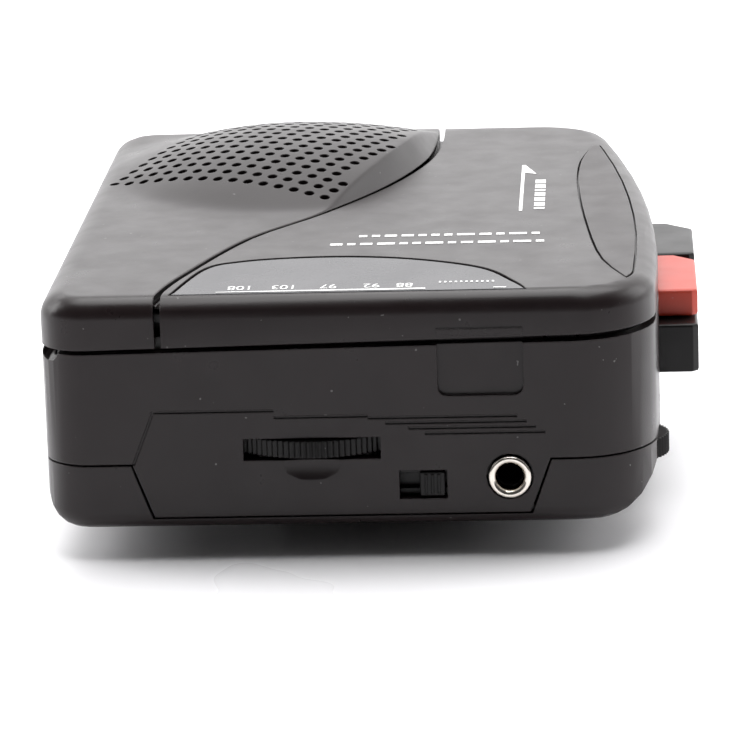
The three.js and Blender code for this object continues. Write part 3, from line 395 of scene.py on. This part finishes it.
# ---------------------------------------------------------------- mesh making
def shade(bm, angle=32.0):
    """Smooth faces, with edges sharper than angle left hard."""
    limit = math.radians(angle)
    for face in bm.faces:
        face.smooth = True
    for edge in bm.edges:
        edge.smooth = len(edge.link_faces) == 2 and edge.calc_face_angle(math.pi) < limit


def piece(name, bm, body, slot, replaces=(), angle=32.0, even=True):
    """Makes bm an object that rides on a body and stands for the given CAD nodes."""
    shade(bm, angle)
    mesh = bpy.data.meshes.new(name)
    bm.to_mesh(mesh)
    bm.free()
    obj = bpy.data.objects.new(name, mesh)
    bpy.context.scene.collection.objects.link(obj)
    mesh.materials.append(FINISHES[slot])
    if even:
        even_out = obj.modifiers.new("Even shading", "WEIGHTED_NORMAL")
        even_out.keep_sharp = True
        even_out.weight = 60
    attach(obj, body)
    if replaces:
        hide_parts(*replaces)
    return obj


def merged_copy(node):
    """A CAD node's mesh with its loose triangles joined up."""
    bm = bmesh.new()
    bm.from_mesh(frame["nodes"][node].data)
    bmesh.ops.remove_doubles(bm, verts=bm.verts, dist=0.002 * MM)
    return bm


def dressed(node, angle=32.0):
    """The CAD node as it is, joined up and finished."""
    return piece(node + "_moulding", merged_copy(node), BODY_OF[node], SLOT_OF[node],
                 (node,), angle)


def loose(bm):
    """A bare object round bm, for a cut."""
    mesh = bpy.data.meshes.new("cutter")
    bm.to_mesh(mesh)
    bm.free()
    obj = bpy.data.objects.new("cutter", mesh)
    bpy.context.scene.collection.objects.link(obj)
    return obj


def carve(bm, *cutters, crossing=False):
    """Cuts the cutters out of bm; crossing allows for shapes that pass through themselves."""
    base = loose(bm)
    others = [loose(cutter) for cutter in cutters]
    for cutter in others:
        modifier = base.modifiers.new("Carve", "BOOLEAN")
        modifier.object = cutter
        modifier.operation = "DIFFERENCE"
        modifier.solver = "EXACT"
        modifier.use_self = crossing
    bpy.context.view_layer.update()
    depsgraph = bpy.context.evaluated_depsgraph_get()
    result = bmesh.new()
    result.from_object(base, depsgraph)
    for obj in (base, *others):
        bpy.data.objects.remove(obj)
    if not result.faces:
        raise RuntimeError("a cut left nothing of a piece")
    bmesh.ops.remove_doubles(result, verts=result.verts, dist=0.002 * MM)
    return result


def plate(points, z0, z1, bm=None):
    """A flat outline in plan, raised from z0 to z1."""
    bm = bm or bmesh.new()
    face = bm.faces.new([bm.verts.new(at(x, y, z0)) for x, y in points])
    face.normal_update()
    if face.normal.z > 0:
        face.normal_flip()
    made = bmesh.ops.extrude_face_region(bm, geom=[face])
    raised = [v for v in made["geom"] if isinstance(v, bmesh.types.BMVert)]
    bmesh.ops.translate(bm, verts=raised, vec=(0, 0, (z1 - z0) * MM))
    bmesh.ops.recalc_face_normals(bm, faces=bm.faces)
    return bm


def block(x0, x1, y0, y1, z0, z1, bm=None):
    """A box between two corners."""
    bm = bm or bmesh.new()
    size = Matrix.Diagonal((x1 - x0, y1 - y0, z1 - z0, 1 / MM)) * MM
    middle = at((x0 + x1) / 2, (y0 + y1) / 2, (z0 + z1) / 2)
    bmesh.ops.create_cube(bm, size=1, matrix=Matrix.Translation(middle) @ size)
    return bm


TURN = {"x": Matrix.Rotation(math.pi / 2, 4, "Y"), "y": Matrix.Rotation(-math.pi / 2, 4, "X"),
        "z": Matrix.Identity(4)}


def rod(x, y, z, radius, length, axis="z", sides=48, bm=None):
    """A cylinder about the middle x, y, z."""
    bm = bm or bmesh.new()
    bmesh.ops.create_cone(
        bm, cap_ends=True, segments=sides, radius1=radius * MM, radius2=radius * MM,
        depth=length * MM, matrix=Matrix.Translation(at(x, y, z)) @ TURN[axis])
    return bm


def turned(x, y, z, profile, axis="z", steps=64):
    """A closed profile of (radius, height) spun about an axis through x, y, z."""
    bm = bmesh.new()
    points = [bm.verts.new((radius * MM, 0, height * MM)) for radius, height in profile]
    edges = [bm.edges.new(pair) for pair in zip(points, points[1:] + points[:1])]
    bmesh.ops.spin(bm, geom=points + edges, cent=(0, 0, 0), axis=(0, 0, 1),
                   angle=2 * math.pi, steps=steps, use_merge=True)
    bmesh.ops.remove_doubles(bm, verts=bm.verts, dist=0.001 * MM)
    bmesh.ops.recalc_face_normals(bm, faces=bm.faces)
    bmesh.ops.transform(bm, matrix=Matrix.Translation(at(x, y, z)) @ TURN[axis], verts=bm.verts)
    return bm


def soften(bm, width, segments=3, angle=40.0):
    """Rounds the edges that are sharper than angle."""
    limit = math.radians(angle)
    sharp = [e for e in bm.edges if len(e.link_faces) == 2 and e.calc_face_angle(0) > limit]
    bmesh.ops.bevel(bm, geom=sharp, offset=width * MM, offset_type="OFFSET", affect="EDGES",
                    segments=segments, profile=0.5, material=-1, clamp_overlap=True)
    return bm


def spline(points, steps):
    """A smooth line through points, with steps pieces in each span."""
    ends = [points[0], *points, points[-1]]
    line = []
    for a, b, c, d in zip(ends, ends[1:], ends[2:], ends[3:]):
        for i in range(steps):
            t = i / steps
            line.append(tuple(
                0.5 * (2 * q + (r - p) * t + (2 * p - 5 * q + 4 * r - s) * t * t
                       + (3 * q - p - 3 * r + s) * t ** 3)
                for p, q, r, s in zip(a, b, c, d)))
    return [*line, tuple(points[-1])]


# ---------------------------------------------------------------- casings
THUMB_SCOOP = {"z": 9.4, "half_width": 9.5, "half_length": 4.0, "half_height": 5.2,
               "depth": 0.42}


def jack_end_scoop():
    """A shallow hollow for the thumb, under the tuning wheel."""
    x = middle_of(*box_of("tuning_wheel"))[0]
    length = THUMB_SCOOP["half_length"]
    scoop = bmesh.new()
    shape = Matrix.Diagonal((THUMB_SCOOP["half_width"], length, THUMB_SCOOP["half_height"],
                             1 / MM)) * MM
    place = Matrix.Translation(at(x, THUMB_SCOOP["depth"] - length, THUMB_SCOOP["z"]))
    bmesh.ops.create_uvsphere(scoop, u_segments=64, v_segments=32, radius=1, matrix=place @ shape)
    return scoop


class RECORDER_OT_casings(bpy.types.Operator):
    """Front and rear casings and the battery door"""

    bl_idname = "recorder.casings"
    bl_label = "Casings"

    def execute(self, context):
        front = carve(merged_copy("front_housing"), jack_end_scoop())
        piece("front_casing", front, "housing", "charcoal_housing", ("front_housing",))
        dressed("rear_housing")
        dressed("battery_door")
        return {"FINISHED"}


# ---------------------------------------------------------------- speaker cover
PARTING = [(17.6, -2), (17.8, 4), (20.6, 15), (28, 36), (38, 52), (47, 70), (52.4, 87), (54, 101),
           (54, 117)]
PARTING_LINE = spline(PARTING, 12)
DOME = {"x": 31, "y": 88, "left": 28.5, "right": 33, "near": 34, "far": 27, "foot": 0.5}
RIDGE = {"slope": 0.8, "curl": 0.33, "round": 0.16}
PARTING_EDGE = 0.12
PARTING_ROOM = 0.8
SKIN = {"step": 0.95, "fine_step": 0.22, "fine_columns": 24, "middle_columns": 42,
        "full_width": 20}
GRILLE = {"x": 3.6, "y": 74.8, "along": (2.43, -1.18), "up": (1.28, 2.41), "rows": 17,
          "columns": 24, "beyond": 2, "reach": 33.0, "edge": 3.3, "far": 110.5,
          "parting": 1.9, "crest": 5.5, "steepness": 0.3, "room": 0.9}


def parting_x(y):
    """Where the line between speaker cover and door panel is at y."""
    for (x0, y0), (x1, y1) in zip(PARTING_LINE, PARTING_LINE[1:]):
        if y0 <= y <= y1:
            return x0 + (x1 - x0) * (y - y0) / (y1 - y0)
    return PARTING_LINE[-1][0]


def left_edge(y):
    """The body's left outline at y, with its round corners."""
    inward = max(LEFT_CORNER - y, y - (DEPTH - LEFT_CORNER), 0.0)
    return LEFT_CORNER - math.sqrt(max(LEFT_CORNER ** 2 - inward ** 2, 0.0))


def rim_drop(distance, radius):
    """How far the rounded rim lies below the top, at a distance from the outline."""
    inside = max(radius - distance, 0.0)
    return radius - math.sqrt(max(radius * radius - inside * inside, 0.0))


def edge_distance(x, y):
    """How far a place in plan is from the left, near and far outline."""
    cx, near, far = LEFT_CORNER - x, LEFT_CORNER - y, y - (DEPTH - LEFT_CORNER)
    ends = min(y, DEPTH - y)
    if cx > 0 and max(near, far) > 0:
        return LEFT_CORNER - math.hypot(cx, max(near, far))
    return min(x, ends)


def dome_rise(x, y, crest):
    """Height of the speaker dome over the flat of the door, cut off by a steep side."""
    dx, dy = x - DOME["x"], y - DOME["y"]
    across = dx / (DOME["left"] if dx < 0 else DOME["right"])
    along = dy / (DOME["near"] if dy < 0 else DOME["far"])
    level = crest * (1 - across ** 2 - along ** 2)
    cap = 0.5 * (level + math.sqrt(level ** 2 + DOME["foot"] ** 2)) * min(1, max(0, level + 2) / 2)
    inside = parting_x(y) - PARTING_ROOM - x
    side = RIDGE["slope"] * inside + RIDGE["curl"] * inside * inside
    soft = RIDGE["round"]
    return 0.5 * (cap + side - math.sqrt((cap - side) ** 2 + 4 * soft * soft * min(1, cap / 2)))


def stops(start, end, step):
    """Even stops about step apart, without the two ends."""
    count = max(2, round((end - start) / step))
    return [start + (end - start) * i / count for i in range(1, count)]


def rim_stops(radius, parts=9):
    """Stops that crowd towards the outline, as the round of the rim needs."""
    return [radius * (1 - math.cos(math.pi / 2 * i / parts)) for i in range(parts + 1)]


def cover_skin(crest):
    """The cover's outer skin: a grid bent to the outline, the rim and the dome."""
    rims = rim_stops(RIM)
    rows = [*rims, *stops(RIM, DEPTH - RIM, SKIN["step"]), *reversed([DEPTH - r for r in rims])]
    side = rim_stops(SIDE_RIM)
    near_parting = [SKIN["fine_step"] * i for i in range(SKIN["fine_columns"])]
    middle = SKIN["middle_columns"]
    columns = len(side) + middle + len(near_parting)
    bm = bmesh.new()
    bmesh.ops.create_grid(bm, x_segments=columns - 1, y_segments=len(rows) - 1, size=0.5)
    bm.verts.ensure_lookup_table()
    ordered = sorted(bm.verts, key=lambda v: (round(v.co.y, 5), round(v.co.x, 5)))
    for index, vert in enumerate(ordered):
        row, column = divmod(index, columns)
        y = rows[row]
        left, right = left_edge(y), parting_x(y) - PARTING_ROOM
        share = min(1.0, (right - left) / SKIN["full_width"])
        inner = left + side[-1] * share
        outer = right - near_parting[-1] * share
        if column < len(side):
            x = left + side[column] * share
        elif column < len(side) + middle:
            x = inner + (outer - inner) * (column - len(side) + 1) / (middle + 1)
        else:
            x = right - near_parting[columns - 1 - column] * share
        away = edge_distance(x, y)
        radius = SIDE_RIM if x < min(y, DEPTH - y) else RIM
        z = HEIGHT - rim_drop(max(away, 0.0), radius) - rim_drop(right - x, PARTING_EDGE)
        z += max(dome_rise(x, y, crest), 0.0) * min(1, away / 2)
        vert.co = at(x, y, z)
    return bm


def outer_rim(bm):
    """Boundary edges of the skin, but for the ones on the parting line."""
    found = []
    for edge in bm.edges:
        if edge.is_boundary:
            middle = ((edge.verts[0].co + edge.verts[1].co) / 2 - CORNER) / MM
            if middle.x < parting_x(middle.y) - PARTING_ROOM - 0.05 or middle.y < 0.01 \
                    or middle.y > DEPTH - 0.01:
                found.append(edge)
    return found


def speaker_cover(sizes):
    """The cover's wall, with its holes and hinge notches cut."""
    bm = cover_skin(sizes.crest / MM)
    made = bmesh.ops.extrude_edge_only(bm, edges=outer_rim(bm))
    for vert in made["geom"]:
        if isinstance(vert, bmesh.types.BMVert):
            x = (vert.co.x - CORNER.x) / MM
            vert.co.z = at(0, 0, SEAM_LEFT + SEAM_RISE * x / WIDTH).z
    bmesh.ops.recalc_face_normals(bm, faces=bm.faces)
    if max(bm.faces, key=lambda f: f.calc_center_median().z).normal.z < 0:
        bmesh.ops.reverse_faces(bm, faces=bm.faces)
    bmesh.ops.solidify(bm, geom=bm.faces, thickness=WALL * MM)
    bmesh.ops.recalc_face_normals(bm, faces=bm.faces)
    return carve(bm, grille_holes(sizes), hinge_notches(), crossing=True)


def grille_holes(sizes):
    """One cutter for all holes: staggered rows that follow the dome's near foot."""
    bm = bmesh.new()
    radius = sizes.hole / MM / 2
    (ax, ay), (ux, uy) = GRILLE["along"], GRILLE["up"]
    for row in range(GRILLE["rows"]):
        for column in range(GRILLE["columns"]):
            x = GRILLE["x"] + column * ax + row * ux
            y = GRILLE["y"] + column * ay + row * uy
            steep = dome_rise(x, y, GRILLE["crest"]) * GRILLE["steepness"]
            room = parting_x(y) - x - GRILLE["parting"] - steep
            middle = math.hypot(x - DOME["x"], y - DOME["y"] - GRILLE["beyond"])
            if (middle < GRILLE["reach"] and x > GRILLE["edge"] and y < GRILLE["far"]
                    and room > GRILLE["room"]):
                rod(x, y, HEIGHT + 2, radius, 12, sides=12, bm=bm)
    return bm


BARREL = {"from_end": 14.0, "length": 7.0, "depth": 2.9, "above_pin": 1.0}
LUG = {"from_end": 21.3, "length": 4.0, "radius": 1.3, "web": 3.3}


def hinge_starts(part):
    """Where the near and the far barrel or lug start."""
    return part["from_end"], DEPTH - part["from_end"] - part["length"]


def hinge_notches():
    """Room in the left seam for the housing's hinge barrels."""
    top = box_of("hinge_pin_near")[1].z + BARREL["above_pin"]
    bm = bmesh.new()
    for start in hinge_starts(BARREL):
        end = start + BARREL["length"]
        block(-1, BARREL["depth"], start - GAP, end + GAP, 20, top, bm)
    return bm


def seam_ledge(bm):
    """A stepped ledge under the parting line, so that no light falls through the gap."""
    line = [p for p in PARTING_LINE if 3 < p[1] < DEPTH - 3]
    for right, top in ((-1.0, HEIGHT - WALL + 0.05), (0.5, HEIGHT - WALL - 0.1)):
        outline = [(x - 1.7, y) for x, y in line] + [(x + right, y) for x, y in reversed(line)]
        plate(outline, HEIGHT - WALL - 0.45, top, bm)


def hinge_lugs():
    """The cover's own hinge barrels, each with a web up to the cover, and the seam's ledge."""
    bm = bmesh.new()
    seam_ledge(bm)
    x, _, z = middle_of(*box_of("hinge_pin_near"))
    radius, length = LUG["radius"], LUG["length"]
    for start in hinge_starts(LUG):
        rod(x, start + length / 2, z, radius, length, "y", 24, bm)
        block(x - radius, x + radius, start, start + length, z, z + LUG["web"], bm)
    return bm


class RECORDER_OT_speaker_cover(bpy.types.Operator):
    """Speaker cover with its pierced dome and hinge lugs"""

    bl_idname = "recorder.speaker_cover"
    bl_label = "Speaker cover"

    def execute(self, context):
        sizes = context.scene.recorder_sizes
        bm = speaker_cover(sizes)
        lugs = hinge_lugs()
        carrier = bpy.data.meshes.new("lugs")
        lugs.to_mesh(carrier)
        lugs.free()
        bm.from_mesh(carrier)
        bpy.data.meshes.remove(carrier)
        piece("speaker_cover_moulding", bm, "cassette_door", "charcoal_housing",
              ("speaker_cover",), 28)
        for node in ("speaker_frame", "speaker_cone"):
            dressed(node)
        return {"FINISHED"}


# ---------------------------------------------------------------- rest of the door
LENS_LEFT, LENS_NEAR = 19.0, 2.8
LENS_ARCH = [(69, 2.8), (67.2, 6.9), (62.6, 15.1), (53.9, 20.7), (45, 23.2), (36, 23.4),
             (27.7, 21.6), (22.8, 17.4), (19.2, 2.8)]
PRINT = 0.03
DIAL_TOP = HEIGHT - 0.03
PANEL_TOP = HEIGHT + 0.01
DASHES = (1.2, 1.8, 2.6)
FIGURES = [("108", 28.7), ("103", 34.9), ("97", 41.2), ("92", 47.3), ("88", 52.0)]


def dial_lens():
    """The arched dial lens, a little below the top of the door."""
    bm = plate([*spline(LENS_ARCH, 8)[:-1], (LENS_LEFT, LENS_NEAR)],
               HEIGHT - 0.95, HEIGHT - 0.05)
    return soften(bm, 0.12, 2)


def print_bar(bm, x0, x1, y0, y1, z=PANEL_TOP):
    """A plain printed bar on the surface at z."""
    return plate([(x0, y0), (x1, y0), (x1, y1), (x0, y1)], z, z + PRINT, bm)


def figures(words, height, z):
    """Figures printed flat on the lens, their feet towards the far end."""
    bm = bmesh.new()
    for text, x, y in words:
        curve = bpy.data.curves.new("figure", "FONT")
        curve.body = text
        curve.size = height / 0.72
        curve.align_x = "CENTER"
        curve.extrude = 0.02
        holder = bpy.data.objects.new("figure", curve)
        bpy.context.scene.collection.objects.link(holder)
        bpy.context.view_layer.update()
        flat = bpy.data.meshes.new_from_object(holder.evaluated_get(
            bpy.context.evaluated_depsgraph_get()))
        turn = Matrix.Translation(at(x, y, z)) @ Matrix.Rotation(math.pi, 4, "Z")
        flat.transform(turn @ Matrix.Diagonal((0.78 * MM, MM, MM, 1)))
        bm.from_mesh(flat)
        bpy.data.objects.remove(holder)
        bpy.data.meshes.remove(flat)
    return bm


class RECORDER_OT_dial(bpy.types.Operator):
    """Dial lens with its printed figures and scale line"""

    bl_idname = "recorder.dial"
    bl_label = "Dial"

    def execute(self, context):
        height = context.scene.recorder_sizes.digit / MM
        piece("dial_window", dial_lens(), "cassette_door", "smoked_lens", ("dial_lens",))
        words = [(text, x, 4.7 + height) for text, x in FIGURES]
        piece("dial_figures", figures(words, height, DIAL_TOP), "cassette_door", "print_ink",
              even=False)
        line = bmesh.new()
        long_bar = [(25.4, 3.5), (55.0, 3.3), (55.0, 4.1), (36.0, 4.0), (25.4, 3.8)]
        plate(long_bar, DIAL_TOP, DIAL_TOP + PRINT, line)
        print_bar(line, 64.6, 66.4, 3.4, 3.9, DIAL_TOP)
        for index in range(11):
            x = 56.8 + index * 0.75
            print_bar(line, x, x + 0.32, 6.9, 7.7, DIAL_TOP)
        piece("dial_scale", line, "cassette_door", "print_ink", even=False)
        return {"FINISHED"}


class RECORDER_OT_door(bpy.types.Operator):
    """Door panel, side inlay, inner frame, latch and the plain printed bars"""

    bl_idname = "recorder.door"
    bl_label = "Door"

    def execute(self, context):
        for node in ("door_panel", "side_inlay", "door_frame", "door_latch"):
            dressed(node)
        bars = bmesh.new()
        print_bar(bars, 67.35, 67.85, 51, 83)
        plate([(67.85, 77.5), (69.7, 76.5), (67.85, 83)], PANEL_TOP, PANEL_TOP + PRINT, bars)
        piece("printed_bar", bars, "cassette_door", "print_ink", even=False)
        dashes = bmesh.new()
        draw = random.Random(7)
        for y, start, end in ((30.6, 40.0, 71.0), (35.6, 44.0, 71.0)):
            x = start
            while x < end:
                length = draw.choice(DASHES)
                print_bar(dashes, x, x + length, y, y + 1.25)
                x += length + 0.7
        y = 52.0
        while y < 73:
            length = draw.choice(DASHES)
            print_bar(dashes, 69.6, 71.2, y, y + length)
            y += length + 0.8
        piece("printed_dashes", dashes, "cassette_door", "print_ink", even=False)
        return {"FINISHED"}


# ---------------------------------------------------------------- controls
WHEEL_RIM = 2.4
WHEEL_DRUM = 11.1


def ribbed_outline(low, high, ribs, depth=0.35):
    """A thumb wheel's outline in plan, with rounded grip ribs."""
    x, y, _ = middle_of(low, high)
    radius = (high.x - low.x) / 2
    points = []
    for i in range(ribs * 4):
        angle = 2 * math.pi * i / (ribs * 4)
        r = radius - depth * (0.5 - 0.5 * math.cos(angle * ribs)) ** 0.7
        points.append((x + r * math.cos(angle), y + r * math.sin(angle)))
    return points


class RECORDER_OT_wheels(bpy.types.Operator):
    """Tuning and volume thumb wheels"""

    bl_idname = "recorder.wheels"
    bl_label = "Thumb wheels"

    def execute(self, context):
        low, high = box_of("tuning_wheel")
        outline = ribbed_outline(low, high, context.scene.recorder_sizes.ribs)
        bm = plate(outline, low.z, low.z + WHEEL_RIM)
        x, y, _ = middle_of(low, high)
        rod(x, y, (low.z + WHEEL_RIM + high.z) / 2 - 0.1, WHEEL_DRUM,
            high.z - low.z - WHEEL_RIM + 0.2, bm=bm)
        piece("tuning_thumb_wheel", bm, "tuning_wheel", "black_plastic", ("tuning_wheel",))
        low, high = box_of("volume_wheel")
        bm = plate(ribbed_outline(low, high, 52), low.z, high.z)
        piece("volume_thumb_wheel", bm, "volume_wheel", "black_plastic", ("volume_wheel",))
        return {"FINISHED"}


class RECORDER_OT_jack(bpy.types.Operator):
    """Phones jack with its polished ring"""

    bl_idname = "recorder.jack"
    bl_label = "Phones jack"

    def execute(self, context):
        low, high = box_of("jack_ring")
        x, _, z = middle_of(low, high)
        outer = (high.x - low.x) / 2
        ring = [(1.9, 0.6), (2.15, 0.25), (2.35, 0.08), (2.6, 0.0), (outer - 0.17, 0.06),
                (outer - 0.05, 0.2), (outer, 0.42), (outer, 2.5), (1.9, 2.5)]
        piece("jack_collar", turned(x, low.y, z, ring, "y", 72), "housing", "bright_nickel",
              ("jack_ring",), 45)
        dressed("phones_jack")
        return {"FINISHED"}


class RECORDER_OT_switch(bpy.types.Operator):
    """Slide switch and its ribbed knob"""

    bl_idname = "recorder.switch"
    bl_label = "Slide switch"

    def execute(self, context):
        low, high = box_of("switch_knob")
        x, _, z = middle_of(low, high)
        near, far = 0.2, 1.8
        bm = block(low.x, high.x, near, far, low.z, high.z)
        soften(bm, 0.25, 3)
        for index in range(3):
            rod(x + (index - 1) * 0.9, near, z, 0.2, high.z - low.z - 0.8, "z", 12, bm)
        block(low.x + 0.8, high.x - 0.8, 1.0, high.y, z - 0.8, z + 0.8, bm)
        piece("switch_slider", bm, "switch_knob", "black_plastic", ("switch_knob",))
        dressed("switch_body")
        return {"FINISHED"}


KEYS = ("record", "stop", "play", "fast_forward", "rewind")
SPRING = {"wire": 0.22, "inset": 0.25, "turns": 6}


def coil(x0, x1, y, z, radius, wire, turns):
    """A wound spring from x0 to x1, as one tube."""
    bm = bmesh.new()
    steps, sides = 14 * turns, 6
    rings = []
    for i in range(steps + 1):
        share = i / steps
        angle = 2 * math.pi * turns * share
        out = Vector((0, math.cos(angle), math.sin(angle)))
        centre = Vector((x0 + (x1 - x0) * share, y, z)) + out * radius
        ring = bmesh.ops.create_circle(bm, segments=sides, radius=wire * MM)["verts"]
        along = out.cross(Vector((1, 0, 0)))
        basis = Matrix((Vector((1, 0, 0)), out, along)).transposed().to_4x4()
        bmesh.ops.transform(bm, matrix=Matrix.Translation(at(*centre)) @ basis, verts=ring)
        rings.append(ring)
    for a, b in zip(rings, rings[1:]):
        for i in range(sides):
            j = (i + 1) % sides
            bm.faces.new((a[i], a[j], b[j], b[i]))
    for ring in (rings[0], rings[-1]):
        bm.faces.new(ring)
    bmesh.ops.recalc_face_normals(bm, faces=bm.faces)
    return bm


class RECORDER_OT_keys(bpy.types.Operator):
    """The five keys and their return springs"""

    bl_idname = "recorder.keys"
    bl_label = "Keys"

    def execute(self, context):
        for key in KEYS:
            dressed(key + "_key", 24)
            low, high = box_of(key + "_spring")
            _, y, z = middle_of(low, high)
            radius = (high.y - low.y) / 2 - SPRING["inset"]
            wound = coil(low.x, high.x, y, z, radius, SPRING["wire"], SPRING["turns"])
            piece(key + "_coil", wound, "housing", "steel", (key + "_spring",), even=False)
        return {"FINISHED"}


# ---------------------------------------------------------------- mechanism, clip and screws
SCREW_CROSS = {"reach": 1.1, "half_width": 0.22, "depth": 0.7}
INSIDE = (
    "hinge_pin_near", "hinge_pin_far", "circuit_board", "tuning_capacitor", "pointer_rail",
    "tuning_pointer", "volume_pot", "microphone", "deck_plate", "motor", "drive_belt",
    "motor_pulley", "flywheel", "capstan", "idler_wheel", "supply_spindle", "take_up_spindle",
    "head_carriage", "record_play_head", "erase_head", "pinch_arm", "pinch_roller",
    "spring_bracket", "belt_clip", "clip_pin", "contact_strip")


def cross_screw(node):
    """A case screw with a cross recess in its head."""
    low, high = box_of(node)
    x, y, _ = middle_of(low, high)
    long, short = SCREW_CROSS["reach"], SCREW_CROSS["half_width"]
    bottom, top = low.z - 1, low.z + SCREW_CROSS["depth"]
    across = block(x - long, x + long, y - short, y + short, bottom, top)
    along = block(x - short, x + short, y - long, y + long, bottom, top)
    return carve(merged_copy(node), across, along)


class RECORDER_OT_mechanism(bpy.types.Operator):
    """Tape mechanism, board, screws, battery contacts and belt clip"""

    bl_idname = "recorder.mechanism"
    bl_label = "Mechanism"

    def execute(self, context):
        for node in INSIDE:
            dressed(node)
        for index in range(1, 5):
            node = f"case_screw_{index}"
            piece(f"cross_screw_{index}", cross_screw(node), "housing", "steel", (node,))
        for node in ("battery_spring_left", "battery_spring_right"):
            dressed(node)
        return {"FINISHED"}


# ---------------------------------------------------------------- studio
AIM = (46.79, 0, 23.51)
LAMPS = (
    ("overhead", (0.05, 0.10, 0.75), 0.7, 7.0),
    ("left_panel", (-0.75, 0.15, 0.45), 0.5, 3.0),
    ("right_panel", (0.75, 0.25, 0.40), 0.5, 2.0))


class RECORDER_OT_stage(bpy.types.Operator):
    """Floor, lights and camera"""

    bl_idname = "recorder.stage"
    bl_label = "Studio"

    def execute(self, context):
        studio = context.scene.recorder_studio
        self.floor(context)
        self.lights(context, studio)
        self.camera(context, studio)
        context.scene.view_settings.view_transform = "Standard"
        return {"FINISHED"}

    def floor(self, context):
        bm = bmesh.new()
        bmesh.ops.create_grid(bm, x_segments=2, y_segments=2, size=3)
        mesh = bpy.data.meshes.new("floor")
        bm.to_mesh(mesh)
        bm.free()
        mesh.materials.append(FINISHES["floor_board"])
        obj = bpy.data.objects.new("floor", mesh)
        context.scene.collection.objects.link(obj)
        obj.location.z = cad_box[0][2] - 0.02 * MM

    def lights(self, context, studio):
        """The white surround, and three square lamps that face the recorder."""
        world = bpy.data.worlds.new("surround")
        world.use_nodes = True
        background = world.node_tree.nodes["Background"]
        background.inputs["Color"].default_value = (1.0, 0.995, 1.0, 1)
        self.bright_behind(world.node_tree, background, studio.sky)
        context.scene.world = world
        for name, place, width, power in LAMPS:
            light = bpy.data.lights.new(name, "AREA")
            light.shape = "SQUARE"
            light.size = width
            light.energy = power
            lamp = bpy.data.objects.new(name, light)
            context.scene.collection.objects.link(lamp)
            lamp.location = place
            aim = Vector((0, 0, 0.02)) - lamp.location
            lamp.rotation_euler = aim.to_track_quat("-Z", "Y").to_euler()

    def bright_behind(self, tree, background, sky):
        """The surround is white behind and above the recorder and dim on the camera's side."""
        place = tree.nodes.new("ShaderNodeTexCoord")
        parts = tree.nodes.new("ShaderNodeSeparateXYZ")
        ramp = tree.nodes.new("ShaderNodeMapRange")
        ramp.interpolation_type = "SMOOTHSTEP"
        for key, value in (("From Min", -0.45), ("From Max", 0.65), ("To Min", 0.08 * sky),
                           ("To Max", 1.95 * sky)):
            ramp.inputs[key].default_value = value
        tree.links.new(place.outputs["Generated"], parts.inputs["Vector"])
        tree.links.new(parts.outputs["Y"], ramp.inputs["Value"])
        tree.links.new(ramp.outputs["Result"], background.inputs["Strength"])

    def camera(self, context, studio):
        """A camera turned, raised and rolled about the aim on the jack end."""
        a, e, r = -studio.azimuth, studio.elevation, studio.roll
        forward = Vector((math.sin(a) * math.cos(e), math.cos(a) * math.cos(e), -math.sin(e)))
        right = forward.cross(Vector((0, 0, 1))).normalized()
        up = right.cross(forward)
        across = math.cos(r) * right + math.sin(r) * up
        upward = -math.sin(r) * right + math.cos(r) * up
        data = bpy.data.cameras.new("camera")
        data.lens = studio.focal
        data.sensor_width = 36
        data.clip_start = 0.05
        data.clip_end = 20
        camera = bpy.data.objects.new("camera", data)
        context.scene.collection.objects.link(camera)
        basis = Matrix((across, upward, -forward)).transposed().to_4x4()
        camera.matrix_world = Matrix.Translation(at(*AIM) - forward * studio.distance) @ basis
        context.scene.camera = camera


# ---------------------------------------------------------------- panel and registration
OPERATORS = (
    RECORDER_OT_casings, RECORDER_OT_speaker_cover, RECORDER_OT_dial, RECORDER_OT_door,
    RECORDER_OT_wheels, RECORDER_OT_jack, RECORDER_OT_switch, RECORDER_OT_keys,
    RECORDER_OT_mechanism, RECORDER_OT_stage)


class RECORDER_PT_panel(bpy.types.Panel):
    """Lists the pieces and their settings"""

    bl_label = "Pocket recorder"
    bl_idname = "RECORDER_PT_panel"
    bl_space_type = "VIEW_3D"
    bl_region_type = "UI"
    bl_category = "Recorder"

    def draw(self, context):
        scene = context.scene
        for group in (scene.recorder_finish, scene.recorder_sizes, scene.recorder_studio):
            box = self.layout.box()
            for key in group.__annotations__:
                box.prop(group, key)
        for operator in OPERATORS:
            self.layout.operator(operator.bl_idname)


CLASSES = (RecorderFinish, RecorderSizes, RecorderStudio, *OPERATORS, RECORDER_PT_panel)


def register():
    for cls in CLASSES:
        bpy.utils.register_class(cls)
    bpy.types.Scene.recorder_finish = PointerProperty(type=RecorderFinish)
    bpy.types.Scene.recorder_sizes = PointerProperty(type=RecorderSizes)
    bpy.types.Scene.recorder_studio = PointerProperty(type=RecorderStudio)


def unregister():
    for name in ("recorder_finish", "recorder_sizes", "recorder_studio"):
        delattr(bpy.types.Scene, name)
    for cls in reversed(CLASSES):
        bpy.utils.unregister_class(cls)


def main():
    register()
    make_finishes(bpy.context.scene.recorder_finish)
    for operator in OPERATORS:
        group, name = operator.bl_idname.split(".")
        getattr(getattr(bpy.ops, group), name)()


if __name__ == "__main__":
    main()
